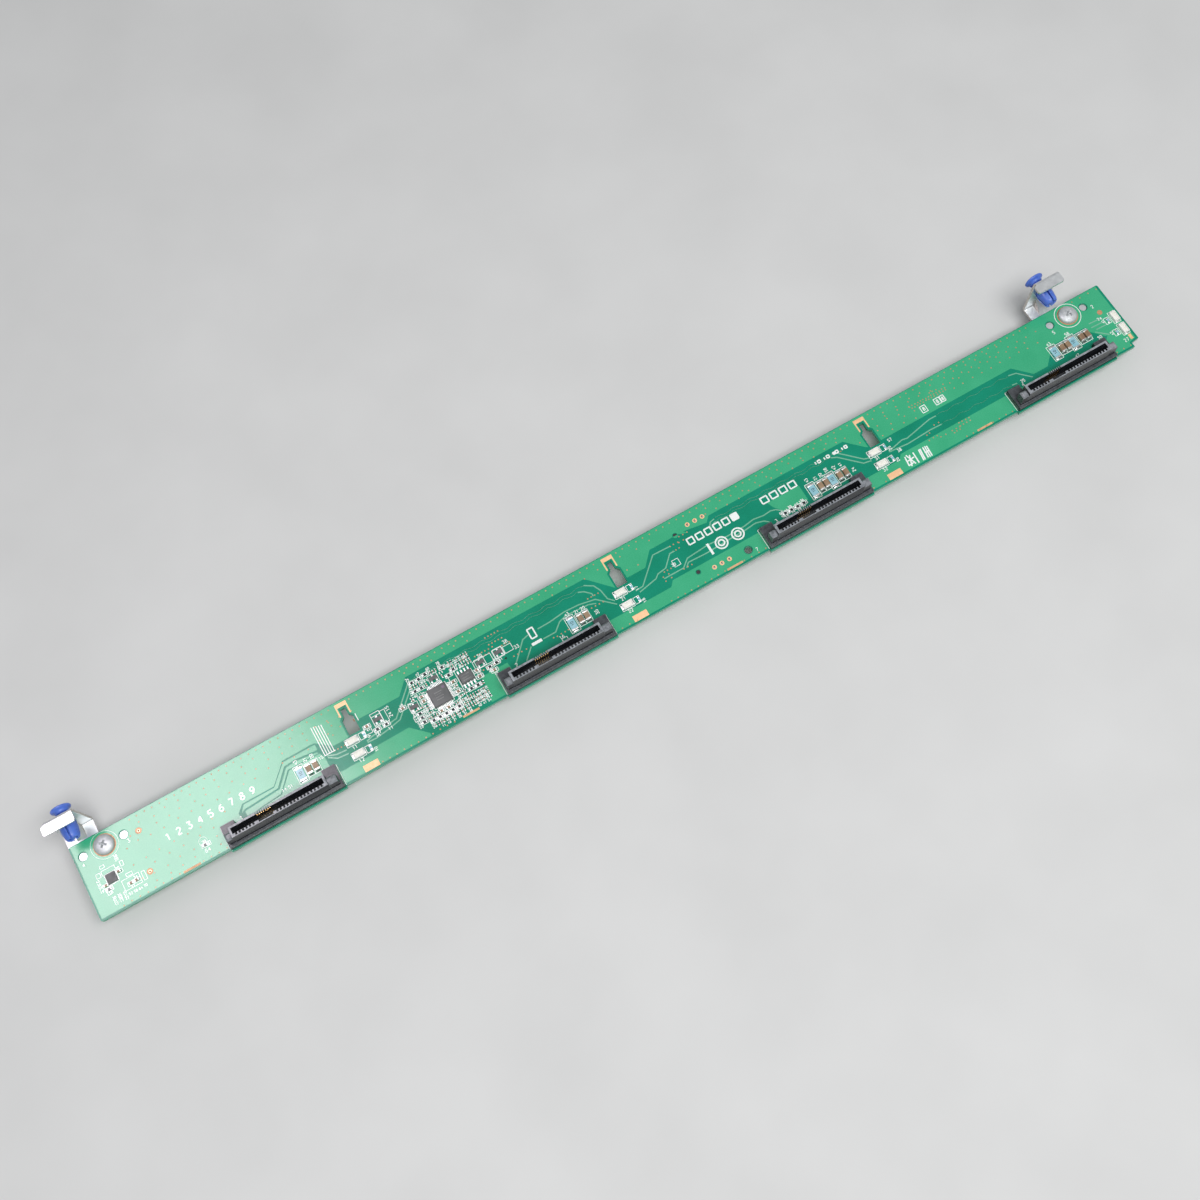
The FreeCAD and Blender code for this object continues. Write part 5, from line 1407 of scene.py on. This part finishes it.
# %% Marks of the open areas
for bay in BAYS:
    left, _, right, _ = sides_of(*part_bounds(f"drive_socket_housing_{bay}"))
    fine_lines += [[(left - 0.35, -0.5), (left - 0.35, 7.6)],
                   [(right + 0.3, -0.5), (right + 0.3, 7.6)],
                   [(left - 0.35, 7.6), (left + 2.0, 7.9)]]
    fine_lines += number(f"{bay}", left + 7.5, 7.3, 1.4)
label_list = [
    ("14", 72.4, 8.6, 1.1), ("51", 74.8, 8.6, 1.1), ("15", 88.2, 12.3, 1.0),
    ("16", 181.0, 8.3, 1.2),
    ("36", 152.6, 17.0, 1.2), ("38", 162.8, 17.0, 1.2), ("33", 165.5, 13.3, 1.2),
    ("25", 149.5, 11.6, 1.1), ("23", 153.6, 10.4, 1.1), ("31", 158.4, 12.2, 1.1),
    ("7", 257.2, 1.7, 1.2), ("5", 397.7, 19.2, 1.3), ("2", 416.3, 20.8, 1.3),
    ("4", 2.3, 19.6, 1.3), ("3", 18.9, 19.6, 1.3), ("64", 41.0, 3.2, 1.3),
    ("60", 272.0, 9.1, 1.0), ("41", 274.0, 9.1, 1.0), ("26", 276.0, 9.1, 1.0),
    ("62", 278.4, 9.1, 1.0), ("33", 280.4, 9.1, 1.0), ("18", 272.0, 7.6, 1.0),
    ("47", 274.0, 7.6, 1.0), ("52", 276.0, 7.6, 1.0), ("29", 278.4, 7.6, 1.0),
    ("36", 280.4, 7.6, 1.0), ("45", 268.6, 6.2, 1.1), ("14", 283.4, 6.2, 1.1),
    ("25", 376.4, 8.6, 1.1), ("38", 322.0, 8.3, 1.1), ("57", 321.2, 13.5, 1.1),
    ("42", 399.6, 6.9, 1.1), ("50", 411.2, 8.9, 1.1), ("30", 228.6, 11.7, 1.0),
    ("27", 419.0, 3.0, 1.3), ("74", 415.6, 15.2, 1.2), ("11", 113.9, 9.6, 1.2),
    ("38", 12.8, 17.0, 0.9), ("29", 12.8, 15.8, 0.9), ("17", 8.9, 3.6, 0.9)]
for text, x, y, tall in label_list:
    fine_lines += number(text, x, y, tall)
upright_labels = [
    ("24", 115.9, 13.8, 1.2), ("15", 115.9, 16.3, 1.2), ("37", 109.0, 9.7, 1.1),
    ("35", 196.2, 10.1, 1.2), ("24", 303.5, 10.2, 1.2), ("13", 148.0, 18.6, 1.0),
    ("6", 150.0, 9.7, 1.0)]
for text, x, y, tall in upright_labels:
    fine_lines += number(text, x, y, tall, True)

for row in range(3):
    for column in range(6):
        tag = str(11 + (row * 6 + column) * 5 % 83)
        fine_lines += number(tag, 130.3 + column * 2.1, 1.1 + row * 1.1, 0.8)
for row in range(4):
    for column in range(3):
        fine_lines += number(str(40 + (row * 3 + column) * 7 % 59), 144.4 + column * 1.9,
                             1.1 + row * 1.1, 0.8)
for column in range(8):
    fine_lines += number(str(15 + column * 9), 126.6 + (column // 2) * 4.0,
                         20.9 + column % 2 * 1.1, 0.85)
for column in range(6):
    fine_lines += number(str(61 + column * 5), 139.6 + column * 1.6, 19.4, 0.85, True)
for row in range(9):
    fine_lines += number(str(23 + row * 7), 123.2, 4.4 + row * 1.15, 0.85)
    fine_lines += number(str(29 + row * 6), 127.2, 2.2 + row * 1.2, 0.85)
for row in range(6):
    fine_lines += number(str(31 + row * 8), 140.5, 5.8 + row * 1.5, 0.85)
fine_lines += [outline_of(122.3, 6.8, 129.4, 8.8), outline_of(129.0, 3.8, 139.6, 6.6),
               outline_of(139.4, 4.2, 142.2, 16.4), outline_of(149.2, 12.8, 156.2, 16.0),
               outline_of(157.0, 12.8, 160.6, 16.2), outline_of(161.0, 13.0, 164.2, 15.6),
               outline_of(180.6, 5.9, 182.6, 7.7), outline_of(228.6, 10.6, 231.0, 13.2),
               outline_of(6.4, 12.9, 11.2, 14.6), outline_of(11.2, 4.4, 17.4, 8.2),
               outline_of(39.6, 4.4, 42.9, 5.8), outline_of(105.4, 11.4, 107.9, 13.8),
               outline_of(109.5, 12.4, 112.9, 17.3), outline_of(113.0, 12.2, 114.8, 16.8)]
for row, y in enumerate((2.2, 3.3, 4.4)):
    for column in range(3):
        fine_lines += number(str(12 + 9 * row + 5 * column), 6.9 + column * 1.9, y, 0.85)
for column in range(4):
    fine_lines += number(str(52 + 6 * column), 12.4 + column * 1.8, 2.9, 0.85)
    fine_lines += number(str(19 + 8 * column), 4.2, 8.2 + column * 1.3, 0.8)
for x, y, wide, tall in [(4.4, 12.9, 1.5, 1.6), (6.6, 15.4, 1.6, 1.0), (5.6, 6.0, 1.2, 2.0),
                         (13.4, 8.6, 2.2, 1.1), (13.2, 12.9, 1.1, 1.8), (18.2, 4.6, 1.2, 3.2)]:
    fine_lines.append(outline_of(x, y, x + wide, y + tall))


def keep_away(nodes, room):
    """Boxes of parts in grid millimetres, grown by some room."""
    zones = []
    for node in nodes:
        for low, high in bricks(node):
            x0, y0, x1, y1 = sides_of(low, high)
            zones.append((x0 - room, y0 - room, x1 + room, y1 + room))
    return zones


taken = keep_away(["small_resistors", "small_capacitors", "transistors"], 0.85)
taken += keep_away(["controller_chip", "memory_chip"], 1.75)
chance = random.Random(21)
close_rows = {"film": [], "ceramic": []}
# Each band: its left, right, low and high limits, its steps, and its parts' turn.
for left, right, low, high, across, up, quarter in (
        (124.9, 149.4, 2.5, 6.4, 1.02, 1.55, math.pi / 2),
        (124.9, 149.4, 7.4, 16.2, 1.72, 0.98, 0.0),
        (126.6, 149.4, 17.0, 20.6, 1.02, 1.55, math.pi / 2)):
    for column in range(int((right - left) / across) + 1):
        for row in range(int((high - low) / up) + 1):
            x, y = left + column * across, low + row * up
            if y > 5 + (x - 118) * 1.9 or (x < 127.5 and y < 4.5):
                continue
            if any(a < x < c and b < y < d for a, b, c, d in taken):
                continue
            if chance.random() < 0.9:
                kind = "film" if (column + 2 * row) % 4 == 0 else "ceramic"
                close_rows[kind].append((*spot(x, y)[:2], 0.0, quarter))
            else:
                fine_lines += number(str(chance.randint(11, 98)), x, y, 0.8, quarter > 0)
SMALLEST = (1.0, 0.52, 0.35)
dress("close_resistors", close_rows["film"], SMALLEST, 0.27, film_glaze,
      segments=1)
dress("close_capacitors", close_rows["ceramic"], SMALLEST, 0.29, brown_ceramic,
      segments=1)
print({kind: len(places) for kind, places in close_rows.items()}, "parts in close rows")
dense = []
for row in range(7):
    dense.append([(128.9, 6.9 + row * 1.35), (129.9, 6.9 + row * 1.35)])
    dense.append([(139.0, 5.6 + row * 1.35), (140.0, 5.6 + row * 1.35)])
    dense.append([(124.6 + row * 0.2, 14.6 + row * 0.75), (125.5 + row * 0.2, 14.6 + row * 0.75)])
for column in range(9):
    dense.append([(129.8 + column * 1.1, 5.0), (129.8 + column * 1.1, 5.9)])
    dense.append([(130.6 + column * 1.0, 18.0), (130.6 + column * 1.0, 18.8)])
    dense.append([(130.2 + column * 1.05, 3.5), (130.9 + column * 1.05, 3.5)])
for column in range(6):
    dense.append([(141.2 + column * 1.3, 5.0), (142.0 + column * 1.3, 5.0)])
    dense.append([(142.4 + column * 1.1, 16.2), (142.4 + column * 1.1, 16.9)])
ribbons("legend_dense", dense, 0.32, 0.012, INK, legend_ink, 0.05)
ribbons("legend_fine", fine_lines, 0.2, 0.01, INK, legend_ink, 0.1)

# %% Rules, boxes and large numerals
bold = []
for i in range(5):
    bold.append([(89.8 + i * 0.88, 12.4), (89.8 + i * 0.88, 23.6 - 0.2 * i)])
bold += [[(89.6, 12.2), (93.8, 12.2)], [(105.4, 17.6), (105.4, 20.4)],
         outline_of(337.7, 16.2, 339.9, 18.9), outline_of(343.7, 16.4, 346.0, 18.9),
         outline_of(346.3, 16.4, 347.9, 18.9)]
for x, y in [(338.8, 17.6), (344.8, 17.6), (347.1, 17.6)]:
    bold += number("8", x, y, 1.3)
ribbons("legend_rules", bold, 0.3, 0.01, INK, legend_ink, 0.1)

heavy = []
for i, text in enumerate("123456789"):
    heavy += number(text, 31.2 + i * 3.95, 13.95, 2.45)
for x in (304.4, 300.6, 296.8, 293.0):
    heavy.append([(x, 18.8), (x, 19.8)])
    heavy.append(outline_of(x + 1.0, 18.8, x + 2.0, 19.8))
ribbons("legend_months", heavy, 0.5, 0.01, INK, legend_ink, 0.15)

revision = []
for i in range(6):
    revision.append(outline_of(237.3 + i * 3.65, 15.25, 239.7 + i * 3.65, 17.65))
for i in range(4):
    revision.append(outline_of(268.2 + i * 3.9, 15.3, 270.8 + i * 3.9, 17.7))
revision += [outline_of(171.5, 13.0, 173.6, 16.8)]
revision += [closed(ring(x, 10.2, wide, sides)) for wide, sides in ((4.4, 28), (2.2, 20))
             for x in (247.6, 254.4)]
ribbons("legend_boxes", revision, 0.55, 0.01, INK, legend_ink, 0.12)

marks = [frame_of(170.5, 10.5, 174.5, 11.6), frame_of(255.6, 15.4, 258.3, 17.7),
         frame_of(300.6, 18.7, 301.8, 19.9), frame_of(242.4, 7.9, 243.3, 12.5)]
for (x, y), wide in zip(screw_at.values(), (9.8, 10.1)):
    marks += [ring(x, y, wide, 72), ring(x, y, 9.6, 72)]
marks += [ring(40.8, 6.6, 3.1), ring(40.8, 6.6, 2.9)]
inlay("legend_marks", marks, 0.01, INK, legend_ink)

# %% Marks on the parts
chip_mark = cloudy_finish("chip_mark", 0.5, 3.0, 3, (0.35, (0.13, 0.135, 0.135)),
                          (0.65, (0.24, 0.245, 0.245)))
for node, rows, wide in (("controller_chip", (1.2, 0.4, -0.5, -1.4), 3.2),
                         ("memory_chip", (0.8, -0.2, -1.1), 3.0)):
    low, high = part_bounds(node)
    x, y = middle(low, high)[:2]
    top = high.z / MM
    dashes = []
    for row, offset in enumerate(rows):
        at = x - wide / 2
        while at < x + wide / 2 - 0.3 - 0.5 * (row % 2):
            end = at + 0.16 + 0.1 * ((row + int(at * 7)) % 3)
            dashes.append([(at, y + offset), (end, y + offset)])
            at += 0.42
    ribbons(f"{node}_marks", dashes, 0.34, top - 0.01, top + 0.012, chip_mark, 0.05)
shunt_marks = []
for bay in BAYS:
    for low, high in bricks(f"shunt_resistors_{bay}"):
        x, y = middle(low, high)[:2]
        shunt_marks += number("10", x, y, 1.0, high.y - low.y > high.x - low.x)
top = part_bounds("shunt_resistors_1")[1].z / MM
ribbons("shunt_marks", shunt_marks, 0.14, top - 0.01, top + 0.012, film_glaze, 0.05)

# %% A smudged stamp
smudge = []
for i, (x, lean, low, high) in enumerate([
        (321.6, 0.5, 1.2, 5.0), (322.4, 1.6, 0.6, 4.8), (324.2, -1.4, 0.8, 5.3),
        (325.4, 0.2, 0.5, 5.0), (327.4, 0.6, 0.4, 4.9), (328.0, 0.6, 0.4, 4.9),
        (329.4, 0.4, 0.5, 4.9), (330.2, 0.4, 0.4, 4.9), (331.0, 0.3, 0.4, 4.7)]):
    smudge.append([(x, low), (x + lean * 0.5, (low + high) / 2), (x + lean, high)])
smudge += [[(329.3, 2.6), (331.2, 2.7)], [(321.5, 1.3), (323.6, 1.5)],
           [(322.0, 3.0), (325.0, 3.3)]]
ribbons("stamp_smudge", smudge, 0.5, 0.01, INK - 0.01, legend_ink, 0.4)

# %% [markdown]
# ## The back of the board
# The back carries the wide return planes, the rings of the plated holes and
# the legend of its two connectors. It is made the same way as the front, at
# the level of the back face.

# %% Copper, rings and legend of the back
back_area = [(0.5, -0.05), (419.0, -0.05), (419.0, 1.5), (422.4, 2.4), (422.4, 27.3)]
for x in reversed(hook_x):
    back_area += [(x + 2.75, 27.3), (x + 2.75, 13.4), (x - 2.75, 13.4), (x - 2.75, 27.3)]
back_area += [(0.5, 27.3)]
channels = [[(118.0, 8.0), (206.0, 8.0), (206.0, 9.4), (118.0, 9.4)],
            [(262.0, 12.0), (308.0, 12.0), (308.0, 13.2), (262.0, 13.2)]]
inlay("back_copper", clear_of_holes(back_area) + channels, BACK - COPPER, BACK, mask_on_copper)
back_rings = []
for x, y, wide in round_holes:
    if 0.9 < wide < 1.1:
        back_rings += [ring(x, y, wide + 0.7), ring(x, y, wide)]
inlay("back_rings", back_rings, BACK - GOLD, BACK, wash_gold)
back_lines = [around("cable_socket_housing", 0.6), around("power_header_housing", 0.5)]
raised = [[(*point, BACK - 0.03) for point in line] for line in back_lines]
mesh = grow("back_legend", paths("back_legend", raised), ribbon, Width=0.2 * MM,
            Height=0.05 * MM, Corner=0.1 * MM, Finish=legend_ink)
piece("back_legend", mesh, legend_ink)

# %% [markdown]
# ## Floor, light and camera
# The board lies on a plain pale floor. One broad soft light hangs to the left
# so that its mirror image covers the left third of the glossy mask. It is kept
# out of the diffuse light, so it adds that gloss and brightens nothing else. A
# second lamp fills from above, and the world is an even pale grey.

# %% Stage
lowest = part_box[0][2]
floor_mesh = bpy.data.meshes.new("floor")
floor_mesh.from_pydata([(-4, -4, lowest), (4, -4, lowest), (4, 4, lowest), (-4, 4, lowest)],
                       [], [(0, 1, 2, 3)])
floor_mesh.materials.append(cloudy_finish("studio_floor", 0.8, 0.02, 3,
                                          (0.3, (0.60, 0.60, 0.595)),
                                          (0.7, (0.64, 0.64, 0.635))))
floor = put("floor", floor_mesh)


def soft_light(name, at, target, size, power):
    lamp = bpy.data.lights.new(name, "AREA")
    lamp.shape = "RECTANGLE"
    lamp.size, lamp.size_y = size
    lamp.energy = power
    made = put(name, lamp)
    made.location = at
    made.rotation_euler = (Vector(target) - Vector(at)).to_track_quat("-Z", "Y").to_euler()
    return made


glare = soft_light("left_softbox", (-0.295, 0.165, 0.50), (-0.235, 0.0, 0.0), (0.27, 0.26), 2.4)
glare.visible_diffuse = False
glare.data.color = (1.0, 0.88, 0.97)
soft_light("overhead", (0.05, -0.38, 1.1), (0.02, 0.0, 0.0), (0.9, 0.5), 11.5)
world = bpy.data.worlds.new("studio")
world.use_nodes = True
world.node_tree.nodes["Background"].inputs[0].default_value = (0.80, 0.82, 0.84, 1)
world.node_tree.nodes["Background"].inputs[1].default_value = 0.42
bpy.context.scene.world = world

LENS_MM = 44.926
EYE_AT = (-0.08465, -0.15802, 0.50022)
EYE_TURNS = (19.087, 1.813, -29.827)
eye = bpy.data.cameras.new("eye")
eye.lens = LENS_MM
eye.sensor_width = 36
camera = put("camera", eye)
camera.location = EYE_AT
camera.rotation_euler = [math.radians(turn) for turn in EYE_TURNS]
bpy.context.scene.camera = camera
bpy.context.scene.view_settings.view_transform = "Standard"
